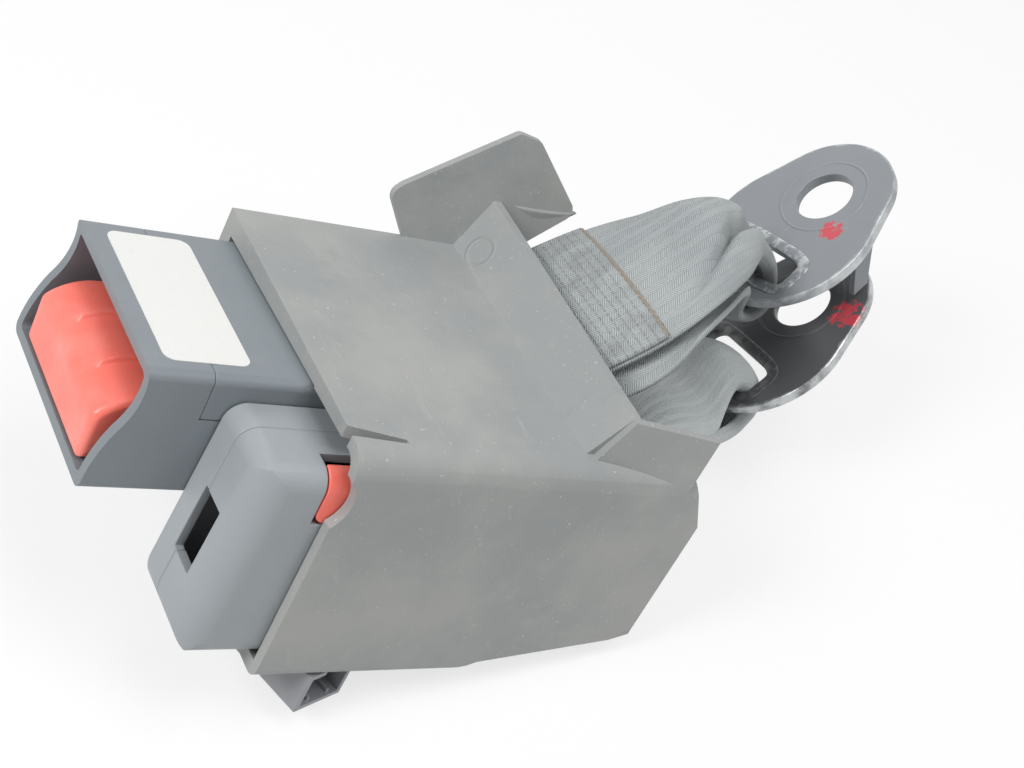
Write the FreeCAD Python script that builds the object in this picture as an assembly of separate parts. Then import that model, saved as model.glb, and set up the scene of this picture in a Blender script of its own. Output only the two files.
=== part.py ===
"""Rear seat double seat belt buckle: a main buckle with a press button, a slim centre belt
buckle standing on edge beside it, one rubber boot over both, and two webbing loops that
end in steel anchor plates.

Everything is modelled in the buckle frame, in millimetres: X runs from the button end
towards the anchors, Y is across the main buckle, Z is up out of its label face, and the
origin is the middle of the label face's front edge. At the end all of it is turned to lie
as it rests on a table, on the connector and two corners of the boot, and is moved so that
the middle of its footprint is the origin.
"""
import FreeCAD, Part
import math
import os

V = FreeCAD.Vector
X_AXIS, Y_AXIS, Z_AXIS = V(1, 0, 0), V(0, 1, 0), V(0, 0, 1)

# Main buckle housing
main_width = 52.0
main_thick = 30.0
main_length = 86.0
main_wall = 2.5
main_edge_round = 2.2
lip_reach = 4.8
mouth_dip = 0.8
cover_front = 14.0
cover_depth = 10.6
seam_gap = 0.12

# Label on the main buckle
label_start = 4.5
label_length = 18.6
label_width = 43.5
label_thick = 0.15
label_corner = 2.5

# Press button and its springs
button_width = 40.6
button_face_height = 11.0
button_crown_drop = 12.4
button_head_length = 17.2
button_body_length = 31.0
button_travel = 8.0
button_clearance = 0.35
button_set_back = 0.3
button_side = 7.5
rib_width = 2.2
rib_height = 1.1
rib_start = 3.6
rib_offset = 7.5
button_spring_radius = 3.0
button_spring_wire = 0.9
button_spring_turns = 6
button_spring_spread = 13.0
spring_room = 18.0

# Steel frame, latch, lock slider and ejector of the main buckle
frame_plate = 2.5
frame_width = 42.2
frame_start = 21.6
frame_rest = 2.0
rest_thick = 2.0
rail_half = 1.5
post_reach = 3.4
tongue_drop = 11.0
frame_wall_top = 4.2
frame_window_start = 33.0
frame_window_length = 11.0
frame_window_width = 20.0
latch_pin_x = 62.0
latch_pin_drop = 6.0
latch_pin_radius = 1.5
pin_clearance = 0.05
pin_head = 1.2
hub_wall = 1.1
latch_thick = 2.0
latch_width = 17.0
latch_reach = 25.0
latch_tooth = 2.8
latch_tooth_height = 1.4
slider_width = 13.0
slider_length = 15.0
slider_thick = 1.1
slider_start = 31.0
ejector_width = 12.0
ejector_length = 13.0
ejector_height = 2.0
ejector_start = 44.0
ejector_lift = 0.2
ejector_travel = 5.0
ejector_spring_radius = 1.0
ejector_spring_wire = 0.45
ejector_spring_turns = 8
spring_stop_x = 70.0
spring_stop_thick = 1.8
switch_length = 17.0
switch_width = 11.0
switch_height = 10.0

# Webbing pins and webbing
main_pin_radius = 3.0
main_pin_x = 78.6
centre_pin_radius = 2.5
webbing_width = 46.5
webbing_thick = 2.8
folded_width = 22.0
folded_thick = 9.0

# Centre buckle, standing on edge beside the main buckle
centre_start = 18.5
centre_gap = 0.3
centre_thick = 21.8
centre_width = 49.2
centre_top_drop = 5.1
centre_length = 68.0
centre_wall = 2.2
centre_front_round = 7.5
centre_foot_round = 8.0
centre_lean = 3.2
centre_top_round = 4.5
centre_split = 7.4
centre_slot_height = 16.2
centre_slot_thick = 8.2
centre_slot_inset = 6.1
centre_frame_plate = 2.0
centre_frame_start = 36.0
centre_frame_width = 32.0
centre_pin_x = 66.0
centre_window_start = 43.0
centre_window_length = 9.0
centre_window_width = 15.0
centre_stop_x = 72.6
centre_stop_thick = 1.6
centre_latch_reach = 20.0
centre_latch_width = 13.0
centre_ejector_start = 52.5
centre_ejector_length = 10.5
centre_ejector_width = 10.4
centre_ejector_height = 2.4
centre_eject_travel = 4.0
release_travel = 2.5
release_x = 33.0
release_length = 12.0
release_height = 12.0
release_depth = 4.4
release_drop = -0.3
release_boss = 3.6

# Rubber boot over both buckles
boot_wall = 2.6
boot_start = 35.0
boot_end = 131.0
boot_far_end = 125.0
boot_heel = 84.0
boot_rear_foot = -46.5
boot_clearance = 0.3
boot_far_rise = 2.6
boot_far_bulge = 4.2
boot_edge_round = 6.0
scoop_foot = 92.8
scoop_top = 101.0
scoop_height = 16.5
scoop_end = 121.5
scoop_wall = 2.2
scoop_flare = 0.16
flap_thick = 1.7
flap_lean = 0.208
flap_corner = 2.6
slit_end = 47.5

# Anchor plates
plate_thick = 3.0
anchor_hole_radius = 7.75
plate_tip_radius = 18.8
plate_end_radius = 24.0
plate_end_offset = 13.5
bar_width = 8.5
plate_slot_depth = 9.5
plate_slot_length = 26.0
plate_slot_round = 3.0
eye_clearance = 0.4
eye_wall = 1.4
tab_drop = 12.5
tab_thick = 2.0
upper_hole_centre = V(190.4, 19.0, 42.4)
upper_along = V(0.596, 0.172, 0.784)
upper_normal = V(-0.803, 0.132, 0.582)
lower_hole_centre = V(190.9, 6.4, 16.9)
lower_along = V(0.577, 0.080, 0.813)
lower_normal = V(-0.812, 0.166, 0.561)

# Sensor connector under the boot
connector_width = 14.5
connector_length = 26.0
connector_height = 10.7
connector_wall = 1.3
connector_turn = 20.7
connector_corner = V(49.2, -51.0, 0)
terminal_width = 1.5
terminal_thick = 0.8

# Worked out from the sizes above
main_half = main_width / 2
main_floor = -main_thick
centre_far = -main_half - centre_gap
centre_near = centre_far - centre_thick
centre_top = -centre_top_drop
centre_foot = centre_top - centre_width
centre_mid = (centre_top + centre_foot) / 2
centre_end = centre_start + centre_length
boot_near = centre_near - boot_clearance - boot_wall
boot_far = main_half + boot_clearance + boot_far_bulge
boot_top = boot_clearance + boot_wall - 0.4
boot_floor = main_floor - boot_clearance - boot_wall
boot_foot = centre_foot - boot_clearance - 3.4
boot_step = centre_far + boot_wall + boot_clearance
bar_diagonal = math.hypot(bar_width, plate_thick) / 2
eye_radius = bar_diagonal + eye_clearance
eye_outer = eye_radius + eye_wall
bar_reach = plate_end_offset + plate_end_radius - bar_width / 2


def block(x0, x1, y0, y1, z0, z1):
    """A box between two corners."""
    return Part.makeBox(x1 - x0, y1 - y0, z1 - z0, V(x0, y0, z0))


def rod(start, direction, radius, length):
    """A cylinder from a point along a direction."""
    return Part.makeCylinder(radius, length, start, direction)


def prism(points, sweep):
    """A flat polygon carried along a vector."""
    corners = [V(*p) for p in points]
    return Part.Face(Part.makePolygon(corners + corners[:1])).extrude(sweep)


def edges_along(shape, direction, keep=None):
    """The straight edges of a solid that run along a direction, with a test on their middle."""
    found = []
    for edge in shape.Edges:
        if not isinstance(edge.Curve, Part.Line):
            continue
        run = (edge.lastVertex().Point - edge.firstVertex().Point).normalize()
        if abs(abs(run.dot(direction)) - 1) > 1e-4:
            continue
        if keep is None or keep(edge.CenterOfMass):
            found.append(edge)
    return found


def rounded(shape, radius, direction, keep=None):
    """A solid with its straight edges along a direction filleted."""
    return shape.makeFillet(radius, edges_along(shape, direction, keep))


def joined(first, *others):
    """Solids fused into one, without the seams between coplanar faces."""
    return first.multiFuse(list(others)).removeSplitter()


def coil(start, direction, radius, wire, turns, length):
    """A compression spring with a five sided wire, as flat facets along a helix."""
    steps = turns * 10
    rings = []
    for i in range(steps + 1):
        turn = 2 * math.pi * turns * i / steps
        out = V(math.cos(turn), math.sin(turn), 0)
        middle = out * (radius - wire / 2) + V(0, 0, wire / 2 + (length - wire) * i / steps)
        rings.append([middle + out * (wire / 2 * math.cos(a)) + Z_AXIS * (wire / 2 * math.sin(a))
                      for a in [2 * math.pi * k / 5 for k in range(5)]])
    faces = []
    for low, high in zip(rings, rings[1:]):
        for k in range(5):
            j = (k + 1) % 5
            faces.append(Part.Face(Part.makePolygon([low[k], low[j], high[k], low[k]])))
            faces.append(Part.Face(Part.makePolygon([low[j], high[j], high[k], low[j]])))
    for ring in (rings[0], rings[-1]):
        faces.append(Part.Face(Part.makePolygon(ring + ring[:1])))
    spring = Part.Solid(Part.Shell(faces))
    if spring.Volume < 0:
        spring.reverse()
    spring.Placement = FreeCAD.Placement(start, FreeCAD.Rotation(Z_AXIS, direction))
    return spring


def main_outline():
    """The main housing's side view: a hollow under the top edge, sweeping out to the lower lip."""
    waist = V(-0.35 * lip_reach, 0, -0.5 * main_thick)
    hollow = Part.Arc(V(0, 0, 0), V(mouth_dip, 0, -0.22 * main_thick), waist).toShape()
    lower_lip = V(-lip_reach, 0, -main_thick)
    sweep = Part.Arc(waist, V(-0.85 * lip_reach, 0, -0.75 * main_thick), lower_lip).toShape()
    corners = [lower_lip, V(main_length, 0, -main_thick), V(main_length, 0, 0), V(0, 0, 0)]
    lines = [Part.LineSegment(a, b).toShape() for a, b in zip(corners, corners[1:])]
    face = Part.Face(Part.Wire([hollow, sweep] + lines))
    face.translate(V(0, -main_half, 0))
    return face.extrude(V(0, main_width, 0))


def main_shells():
    """The main buckle's lower shell with its bezel, and the top cover that closes it behind the seam."""
    body = rounded(main_outline(), main_edge_round, X_AXIS)
    hollow = block(-2 * lip_reach, main_length + 1, -main_half + main_wall, main_half - main_wall,
                   main_floor + main_wall, -main_wall)
    shell = body.cut(rounded(hollow, 1.2, X_AXIS))
    above = block(cover_front, main_length + 1, -main_width, main_width, -cover_depth, 1)
    foot = block(cover_front + 5, main_length + 1, -main_width, main_width, -cover_depth - 1.6, -cover_depth)
    cover_space = above.fuse(foot)
    top_cover = shell.common(cover_space)
    kept_space = block(cover_front - seam_gap, main_length + 1, -main_width, main_width,
                       -cover_depth - seam_gap, 1)
    kept_foot = block(cover_front + 5 - seam_gap, main_length + 1, -main_width, main_width,
                      -cover_depth - 1.6 - seam_gap, -cover_depth)
    lower = shell.cut(kept_space.fuse(kept_foot))
    frame_foot = -tongue_drop - frame_plate
    rest_top = frame_foot - frame_rest
    rail_y, post_y = frame_width / 2 - rail_half, main_half - main_wall
    rest_wall = block(spring_seat_x(), spring_seat_x() + rest_thick, -post_y, post_y,
                      main_floor + main_wall, rest_top)
    rails = [block(frame_start, main_length - 4, s * rail_y - rail_half, s * rail_y + rail_half,
                   rest_top, frame_foot) for s in (-1, 1)]
    posts = [block(spring_seat_x(), main_length - 4, s * post_y - post_reach, s * post_y + post_reach,
                   main_floor + main_wall, rest_top).common(hollow) for s in (-1, 1)]
    return joined(lower, rest_wall, *rails, *posts), top_cover


def spring_seat_x():
    """Where the button springs push against the lower shell."""
    return button_body_length - lip_reach + button_set_back + spring_room


def press_button():
    """The red button: a flat face, a crown with two guide ribs under the tongue mouth, and a lower body."""
    front = -lip_reach + button_set_back
    floor = main_floor + main_wall + button_clearance
    ridge = floor + button_face_height
    crown = -button_crown_drop
    head_end = front + button_head_length
    body_top = -tongue_drop - frame_plate - frame_rest - button_clearance
    outline = [V(front, 0, floor), V(front + button_body_length, 0, floor),
               V(front + button_body_length, 0, body_top), V(head_end, 0, body_top), V(head_end, 0, crown)]
    swell = Part.Arc(V(head_end, 0, crown), V(front + 3.4, 0, crown - 0.7), V(front, 0, ridge)).toShape()
    lines = [Part.LineSegment(a, b).toShape() for a, b in zip(outline, outline[1:])]
    face = Part.Face(Part.Wire(lines + [swell, Part.LineSegment(V(front, 0, ridge), outline[0]).toShape()]))
    face.translate(V(0, -button_width / 2, 0))
    body = face.extrude(V(0, button_width, 0))
    hollow = block(front + 4, front + button_body_length + 1, -button_width / 2 + button_side,
                   button_width / 2 - button_side, floor - 1, body_top - 2.2)
    ribs = [block(front + rib_start, head_end, y - rib_width / 2, y + rib_width / 2,
                  crown - 1.6, crown + rib_height) for y in (-rib_offset, rib_offset)]
    seats = [rod(V(front + button_body_length - 4, s * button_spring_spread, spring_height()), X_AXIS,
                 button_spring_radius + 0.3, 5) for s in (-1, 1)]
    return joined(body.cut(hollow), *ribs).cut(seats[0]).cut(seats[1])


def spring_height():
    """The height of the two button springs' axes."""
    return (main_floor + main_wall - tongue_drop - frame_plate - frame_rest) / 2


def button_springs():
    """The pair of springs that push the button out."""
    start_x = -lip_reach + button_set_back + button_body_length - 4
    length = spring_seat_x() - start_x - 0.2
    pair = [coil(V(start_x + 0.1, s * button_spring_spread, spring_height()), X_AXIS, button_spring_radius,
                 button_spring_wire, button_spring_turns, length) for s in (-1, 1)]
    return Part.makeCompound(pair)


def main_frame():
    """The steel channel: a base with a latch window under the tongue, two walls, a spring stop and pin ears."""
    half = frame_width / 2
    top, base = -tongue_drop, -tongue_drop - frame_plate
    end = main_length - 1.5
    plate = block(frame_start, end, -half, half, base, top)
    walls = [block(frame_start, end, y, y + frame_plate, top, -frame_wall_top)
             for y in (-half, half - frame_plate)]
    window = block(frame_window_start, frame_window_start + frame_window_length, -frame_window_width / 2,
                   frame_window_width / 2, base - 1, top + 1)
    stop = block(spring_stop_x, spring_stop_x + spring_stop_thick, -5, 5, top, top + 4.2)
    rear = block(main_pin_x - 6.5, end + 1, -half + frame_plate, half - frame_plate, base - 1, top + 0.01)
    frame = joined(plate, *walls, stop).cut(window).cut(rear)
    frame = rounded(frame, 4.0, Y_AXIS, lambda c: c.x < frame_start + 0.1 and c.z > top)
    latch_hole = rod(V(latch_pin_x, -half - 1, -latch_pin_drop), Y_AXIS, latch_pin_radius + pin_clearance,
                     frame_width + 2)
    webbing_hole = rod(V(main_pin_x, -half - 1, main_pin_height()), Y_AXIS, main_pin_radius + pin_clearance,
                       frame_width + 2)
    return frame.cut(latch_hole).cut(webbing_hole)


def main_pin_height():
    """The height of the webbing pin in the frame's walls."""
    return -tongue_drop + 1.4


def main_latch():
    """The latch plate on its cross pin, with a tooth over the frame's window."""
    z0 = -latch_pin_drop - latch_thick / 2
    start = latch_pin_x - latch_reach
    half, way = latch_width / 2, ejector_width / 2 + 0.4
    plate = block(start, latch_pin_x, -half, half, z0, z0 + latch_thick)
    tooth = block(start, start + latch_tooth, -half + 2, half - 2, z0 - latch_tooth_height, z0)
    plate = plate.cut(block(ejector_start - 0.8, latch_pin_x, -way, way, z0 - 1, 0))
    hub = rod(V(latch_pin_x, -half, -latch_pin_drop), Y_AXIS, latch_pin_radius + hub_wall, latch_width)
    bore = rod(V(latch_pin_x, -latch_width, -latch_pin_drop), Y_AXIS, latch_pin_radius + pin_clearance,
               2 * latch_width)
    return joined(plate, tooth, hub).cut(bore)


def lock_slider():
    """The flat slider over the latch that the button moves."""
    bottom = -latch_pin_drop + latch_thick / 2 + 0.35
    return block(slider_start, slider_start + slider_length, -slider_width / 2, slider_width / 2,
                 bottom, bottom + slider_thick)


def main_ejector():
    """The plastic ejector on the frame's base, behind the latch window."""
    bottom = -tongue_drop + ejector_lift
    body = block(ejector_start, ejector_start + ejector_length, -ejector_width / 2, ejector_width / 2,
                 bottom, bottom + ejector_height)
    return rounded(body, 1.0, Z_AXIS)


def main_ejector_spring():
    """The spring between the ejector and the frame's stop."""
    start = ejector_start + ejector_length
    height = -tongue_drop + ejector_lift + ejector_height / 2
    return coil(V(start + 0.2, 0, height), X_AXIS, ejector_spring_radius, ejector_spring_wire,
                ejector_spring_turns, spring_stop_x - start - 0.4)


def buckle_switch():
    """The belt sensor's switch under the frame."""
    top = -tongue_drop - frame_plate - 0.3
    start = spring_seat_x() + 5.4
    body = block(start, start + switch_length, -switch_width / 2, switch_width / 2, top - switch_height, top)
    nose = block(start - 3, start, -2, 2, top - 5, top - 2.5)
    return joined(rounded(body, 1.0, Z_AXIS), nose)


def label():
    """The bare sticker on the label face."""
    sheet = block(label_start, label_start + label_length, -label_width / 2, label_width / 2, 0, label_thick)
    return rounded(sheet, label_corner, Z_AXIS)


def slanted(low_x, low_y, high_y):
    """The centre buckle's side view with its leaning front, carried across from one side to the other."""
    corners = [(centre_start, centre_top), (low_x, centre_foot), (centre_end, centre_foot),
               (centre_end, centre_top)]
    return prism([(x, low_y, z) for x, z in corners], V(0, high_y - low_y, 0))


def centre_body():
    """The centre buckle's outer form: a leaning front, a broad round to its near side and a round foot."""
    side = slanted(centre_start - centre_lean, centre_near, centre_far)
    side = rounded(side, centre_foot_round, Y_AXIS, lambda c: c.x < centre_start + 1 and c.z < centre_mid)
    side = rounded(side, centre_top_round, Y_AXIS, lambda c: c.x < centre_start + 1 and c.z > centre_mid)
    front = block(centre_start - 9, centre_end, centre_near, centre_far, centre_foot, centre_top)
    front = rounded(front, centre_top_round, X_AXIS, lambda c: c.y < centre_mid_y())
    lean = V(centre_lean, 0, centre_width)
    turn_x, turn_y = centre_start - centre_lean, centre_near
    knee = Part.Arc(V(turn_x, turn_y + centre_front_round, centre_foot),
                    V(turn_x + 0.293 * centre_front_round, turn_y + 0.293 * centre_front_round, centre_foot),
                    V(turn_x + centre_front_round, turn_y, centre_foot)).toShape()
    corners = [V(turn_x + centre_front_round, turn_y, centre_foot), V(centre_end, turn_y, centre_foot),
               V(centre_end, centre_far, centre_foot), V(turn_x, centre_far, centre_foot),
               V(turn_x, turn_y + centre_front_round, centre_foot)]
    lines = [Part.LineSegment(a, b).toShape() for a, b in zip(corners, corners[1:])]
    plan = Part.Face(Part.Wire([knee] + lines)).extrude(lean)
    return side.common(plan).common(front)


def centre_shells():
    """The centre buckle's front shell with its tongue slot and button window, and its back shell."""
    body = centre_body()
    room = block(centre_start, centre_end + 1, centre_near + centre_wall, centre_far - centre_wall,
                 centre_foot + centre_wall, centre_top - centre_wall)
    lean = slanted(centre_start - centre_lean, centre_near, centre_far).translated(V(centre_wall, 0, 0))
    rear = block(centre_end - 4, centre_end + 1, centre_near + centre_wall, centre_far - centre_wall,
                 centre_foot + centre_wall, centre_top - centre_wall)
    hollow = room.common(lean).fuse(rear).removeSplitter()
    slot_far, slot_half = centre_far - centre_slot_inset, centre_slot_height / 2
    slot = block(centre_start - 4, centre_start + 9, slot_far - centre_slot_thick, slot_far,
                 centre_mid - slot_half, centre_mid + slot_half)
    window = release_space(button_clearance, release_travel + 0.5)
    shell = body.cut(hollow).cut(slot).cut(window)
    split = centre_far - centre_split
    front = shell.common(block(centre_start - 9, centre_end + 1, centre_near - 1, split - seam_gap / 2,
                               centre_foot - 1, centre_top + 1))
    back = shell.common(block(centre_start - 9, centre_end + 1, split + seam_gap / 2, centre_far + 1,
                              centre_foot - 1, centre_top + 1))
    boss_start = V(release_x + release_length / 2, centre_far - centre_wall - release_boss, release_spring_z())
    boss = rod(boss_start, Y_AXIS, 2.2, release_boss + 1)
    rails = [block(centre_frame_start, centre_end - 4, centre_frame_y() + centre_frame_plate / 2,
                   centre_far - centre_wall + 0.5, z - 1.5, z + 1.5)
             for z in (centre_mid - centre_frame_width / 2 + 2, centre_mid + centre_frame_width / 2 - 2)]
    return front, joined(back, boss, *rails)


def centre_mid_y():
    """The middle of the centre buckle's thickness."""
    return (centre_near + centre_far) / 2


def centre_frame_y():
    """The middle of the centre frame's base plate."""
    return centre_far - centre_slot_inset - centre_frame_plate / 2


def release_space(extra, deeper):
    """The release button's block, or the window around it and behind it."""
    top = centre_top - release_drop
    return block(release_x - extra, release_x + release_length + extra, centre_near - 1,
                 centre_near + release_depth + deeper,
                 top - release_height - extra, top + extra)


def release_spring_z():
    """The height of the release button's spring."""
    return centre_top - 5.1


def release_button():
    """The red release button in the centre buckle's near face."""
    cap = release_space(0, 0).common(centre_body())
    return rounded(cap, 2.5, Y_AXIS, lambda c: c.z < centre_top - 4)


def release_spring():
    """The spring under the release button."""
    start = V(release_x + release_length / 2, centre_near + release_depth + 0.1, release_spring_z())
    length = (centre_far - centre_wall - release_boss) - start.y - 0.2
    return coil(start, Y_AXIS, 1.8, 0.45, 4, length)


def centre_frame():
    """The centre buckle's steel frame: a base with a latch window, two flanges, ears and a spring stop."""
    y_mid = centre_frame_y()
    low, high = centre_mid - centre_frame_width / 2, centre_mid + centre_frame_width / 2
    end = centre_end - 1.5
    plate = block(centre_frame_start, end, y_mid - centre_frame_plate / 2, y_mid + centre_frame_plate / 2,
                  low, high)
    flanges = [block(centre_frame_start, end, y_mid - 7.0, y_mid, z, z + centre_frame_plate)
               for z in (low, high - centre_frame_plate)]
    ears = [block(centre_pin_x - 4, centre_pin_x + 4, y_mid - 11.5, y_mid - 6, z, z + centre_frame_plate)
            for z in (low, high - centre_frame_plate)]
    window_half = centre_window_width / 2
    window = block(centre_window_start, centre_window_start + centre_window_length, y_mid - 3, y_mid + 3,
                   centre_mid - window_half, centre_mid + window_half)
    stop = block(centre_stop_x, centre_stop_x + centre_stop_thick, y_mid - 4.6, y_mid,
                 centre_mid - 4, centre_mid + 4)
    rear = block(centre_pin_end() - 6.0, end + 1, y_mid - 3, y_mid + 3,
                 low + centre_frame_plate, high - centre_frame_plate)
    frame = joined(plate, *flanges, *ears, stop).cut(window).cut(rear)
    latch_bore = rod(V(centre_pin_x, centre_latch_y(), low - 1), Z_AXIS, latch_pin_radius + pin_clearance,
                     centre_frame_width + 2)
    webbing_bore = rod(V(centre_pin_end(), y_mid - 3.5, low - 1), Z_AXIS, centre_pin_radius + pin_clearance,
                       centre_frame_width + 2)
    return frame.cut(latch_bore).cut(webbing_bore)


def centre_pin_end():
    """Where the centre webbing's pin crosses the centre frame."""
    return centre_end - 5.5


def centre_latch_y():
    """The centre latch's pin, seen across the buckle."""
    return centre_frame_y() - 8.6


def centre_latch():
    """The centre buckle's latch plate with its tooth."""
    y_mid = centre_latch_y()
    start = centre_pin_x - centre_latch_reach
    half = centre_latch_width / 2
    plate = block(start, centre_pin_x, y_mid - 1, y_mid + 1, centre_mid - half, centre_mid + half)
    tooth = block(start, start + 2.5, y_mid, y_mid + 4.4, centre_mid - half + 1, centre_mid + half - 1)
    hub = rod(V(centre_pin_x, y_mid, centre_mid - half), Z_AXIS, latch_pin_radius + hub_wall, 2 * half)
    bore = rod(V(centre_pin_x, y_mid, centre_mid - 2 * half), Z_AXIS, latch_pin_radius + pin_clearance,
               4 * half)
    return joined(plate, tooth, hub).cut(bore)


def centre_ejector():
    """The centre buckle's ejector."""
    near = centre_frame_y() - centre_frame_plate / 2 - ejector_lift
    half = centre_ejector_width / 2
    body = block(centre_ejector_start, centre_ejector_start + centre_ejector_length,
                 near - centre_ejector_height, near, centre_mid - half, centre_mid + half)
    return rounded(body, 1.0, Y_AXIS)


def centre_ejector_spring():
    """The spring between the centre ejector and its stop."""
    near = centre_frame_y() - centre_frame_plate / 2 - ejector_lift
    start = centre_ejector_start + centre_ejector_length
    return coil(V(start + 0.2, near - centre_ejector_height / 2, centre_mid), X_AXIS, ejector_spring_radius,
                ejector_spring_wire, 6, centre_stop_x - start - 0.4)


def boot():
    """The rubber boot: an L-shaped sleeve, the scoop where the webbing leaves, and the flap."""
    far_top = boot_top + boot_far_rise
    section = [(boot_far, far_top), (boot_near, boot_top), (boot_near, boot_foot), (boot_step, boot_foot),
               (boot_step, boot_floor), (boot_far, boot_floor)]
    sleeve = prism([(boot_start, y, z) for y, z in section], V(boot_end - boot_start, 0, 0))
    sleeve = rounded(sleeve, boot_edge_round, X_AXIS, lambda c: c.y < boot_near + 1 and c.z > boot_floor)
    sleeve = rounded(sleeve, 3.0, X_AXIS, lambda c: c.y < boot_near + 1 and c.z < boot_floor)
    profile = [(boot_start - 1, boot_foot - 1), (boot_heel, boot_foot - 1), (boot_heel, boot_foot),
               (90.5, boot_foot + 3.4), (126, -48.4), (boot_end, boot_rear_foot), (boot_end, -12),
               (scoop_end, boot_top + 1), (scoop_end, 30), (boot_start - 1, 30)]
    sleeve = sleeve.common(prism([(x, boot_near - 5, z) for x, z in profile], V(0, 100, 0)))
    far_outline = [(boot_far_end, boot_floor - 1), (boot_end + 1, boot_floor - 1), (boot_end + 1, 10),
                   (108.5, 10), (108.5, 2)]
    far_cut = prism([(x, -23, z) for x, z in far_outline], V(0, 60, 0))
    body = joined(sleeve.cut(far_cut).cut(boot_hollow()), raised_wall(), near_gusset(), flap())
    slit_outline = [(boot_start - 1, -41.2), (slit_end, -44.6), (slit_end, -45.6), (boot_start - 1, -44.2)]
    slit = prism([(x, y, -6) for x, y in slit_outline], V(0, 0, 14))
    return body.cut(slit).cut(release_opening())


def boot_hollow():
    """The space inside the boot: the two buckles' room, and the way out under the scoop."""
    gap = boot_clearance
    main_room = block(boot_start - 1, boot_end + 1, centre_far, main_half + gap, main_floor - gap, gap)
    low, high = centre_foot - gap, boot_top - boot_wall
    outline = [(boot_start - 1, low), (88.5, low), (126, -45.6), (boot_end + 1, -44.0), (boot_end + 1, high),
               (boot_start - 1, high)]
    centre_room = prism([(x, centre_near - gap, z) for x, z in outline], V(0, centre_thick + 2 * gap, 0))
    centre_room = rounded(centre_room, boot_edge_round - boot_wall, X_AXIS,
                          lambda c: c.y < centre_near and c.z > centre_mid)
    way_outline = [(95.2, -42.3), (95.2, 28.6), (boot_end + 1, 28.6), (boot_end + 1, -46.6)]
    way_out = prism([(x, y, -1) for x, y in way_outline], V(0, 0, 30))
    return joined(main_room, centre_room, way_out)


def wall_x(z):
    """Where the scoop's raised wall stands at a height."""
    return scoop_foot + (scoop_top - scoop_foot) * (z - boot_top) / (scoop_height - boot_top)


def raised_wall():
    """The raised wall across the boot, leaning back over the webbing, higher at its far end."""
    corners = [(31.6, 1.0), (33.4, scoop_height + 1), (-46.0, scoop_height - 3), (-44.9, 1.0)]
    return prism([(wall_x(z), y, z) for y, z in corners], V(scoop_wall, 0, 0))


def near_gusset():
    """The near side wall of the scoop, flaring towards the boot's rear corner."""
    def flared(x, z):
        return (x, -44.2 - scoop_flare * (x - scoop_foot), z)
    top = scoop_height - 3
    corners = [flared(scoop_foot, -3), flared(scoop_foot + 1.5, 1), flared(wall_x(top), top),
               flared(scoop_end, top - 0.8), flared(scoop_end, -3)]
    return prism(corners, V(0, -scoop_wall, 0))


def flap():
    """The flat tab that rises past the far wall, parallel to the webbing, leaning outwards."""
    corners = [(82.0, 1.6), (72.6, 14.6), (75.4, 17.3), (102.7, 34.6), (109.3, 33.6), (127.2, 18.0),
               (106.0, 1.6)]
    sheet = prism([(x, 32.2 + flap_lean * (z - 17.0), z) for x, z in corners], V(0, flap_thick, 0))
    return rounded(sheet, flap_corner, Y_AXIS, lambda c: c.z > 10)


def release_opening():
    """The window that the boot leaves over the release button."""
    return rod(V(29.6, centre_near + 8, centre_top - 4.4), V(0, -1, 0), 8.0, 20)


def plate_frame(centre, along, normal):
    """A placement with its origin at a plate's bolt hole, X towards the plate's tip and Z out of its face."""
    z_dir = V(normal).normalize()
    x_dir = V(along)
    x_dir = (x_dir - z_dir * z_dir.dot(x_dir)).normalize()
    return FreeCAD.Placement(centre, FreeCAD.Rotation(x_dir, z_dir.cross(x_dir), z_dir, "ZXY"))


def upper_place():
    """Where the upper anchor plate is."""
    return plate_frame(upper_hole_centre, upper_along, upper_normal)


def lower_place():
    """Where the lower anchor plate is."""
    return plate_frame(lower_hole_centre, lower_along, lower_normal)


def anchor_plate():
    """A steel anchor plate: the hull of a small round end with the bolt hole and a large one with the slot."""
    slope = (plate_end_radius - plate_tip_radius) / plate_end_offset
    square = math.sqrt(1 - slope * slope)
    floor = V(0, 0, -plate_thick / 2)
    tip = Part.makeCylinder(plate_tip_radius, plate_thick, floor)
    end = Part.makeCylinder(plate_end_radius, plate_thick, floor + V(-plate_end_offset, 0, 0))
    sides = [(-plate_end_offset + plate_end_radius * slope, plate_end_radius * square),
             (plate_tip_radius * slope, plate_tip_radius * square)]
    corners = sides + [(x, -y) for x, y in reversed(sides)]
    neck = prism([(x, y, -plate_thick / 2) for x, y in corners], V(0, 0, plate_thick))
    bar_edge = -bar_reach + bar_width / 2
    slot = block(bar_edge, bar_edge + plate_slot_depth, -plate_slot_length / 2, plate_slot_length / 2, -5, 5)
    slot = rounded(slot, plate_slot_round, Z_AXIS)
    hole = Part.makeCylinder(anchor_hole_radius, 10, V(0, 0, -5))
    return joined(tip, end, neck).cut(slot).cut(hole)


def plate_tab():
    """The upper plate's turned down tab, slanting back under the plate."""
    corners = [(-7.5, 0), (-1.0, 0), (-9.0, -tab_drop), (-14.0, -tab_drop)]
    return prism([(x, -20.3, z) for x, z in corners], V(0, tab_thick, 0))


def webbing_eye(place):
    """The round end of a webbing loop about its bar: the ring, its hole, and the bar's middle and direction."""
    centre = place.multVec(V(-bar_reach, 0, 0))
    across = place.Rotation.multVec(Y_AXIS)
    ring = rod(centre - across * (folded_width / 2), across, eye_outer, folded_width)
    hole = rod(centre - across * folded_width, across, eye_radius, 2 * folded_width)
    return ring, hole, centre, across


def band_section(centre, across, through, width, thick):
    """A rectangle across a webbing band, as a wire."""
    a, b = V(across).normalize() * (width / 2), V(through).normalize() * (thick / 2)
    corners = [centre + a + b, centre - a + b, centre - a - b, centre + a - b]
    return Part.makePolygon(corners + corners[:1])


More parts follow.
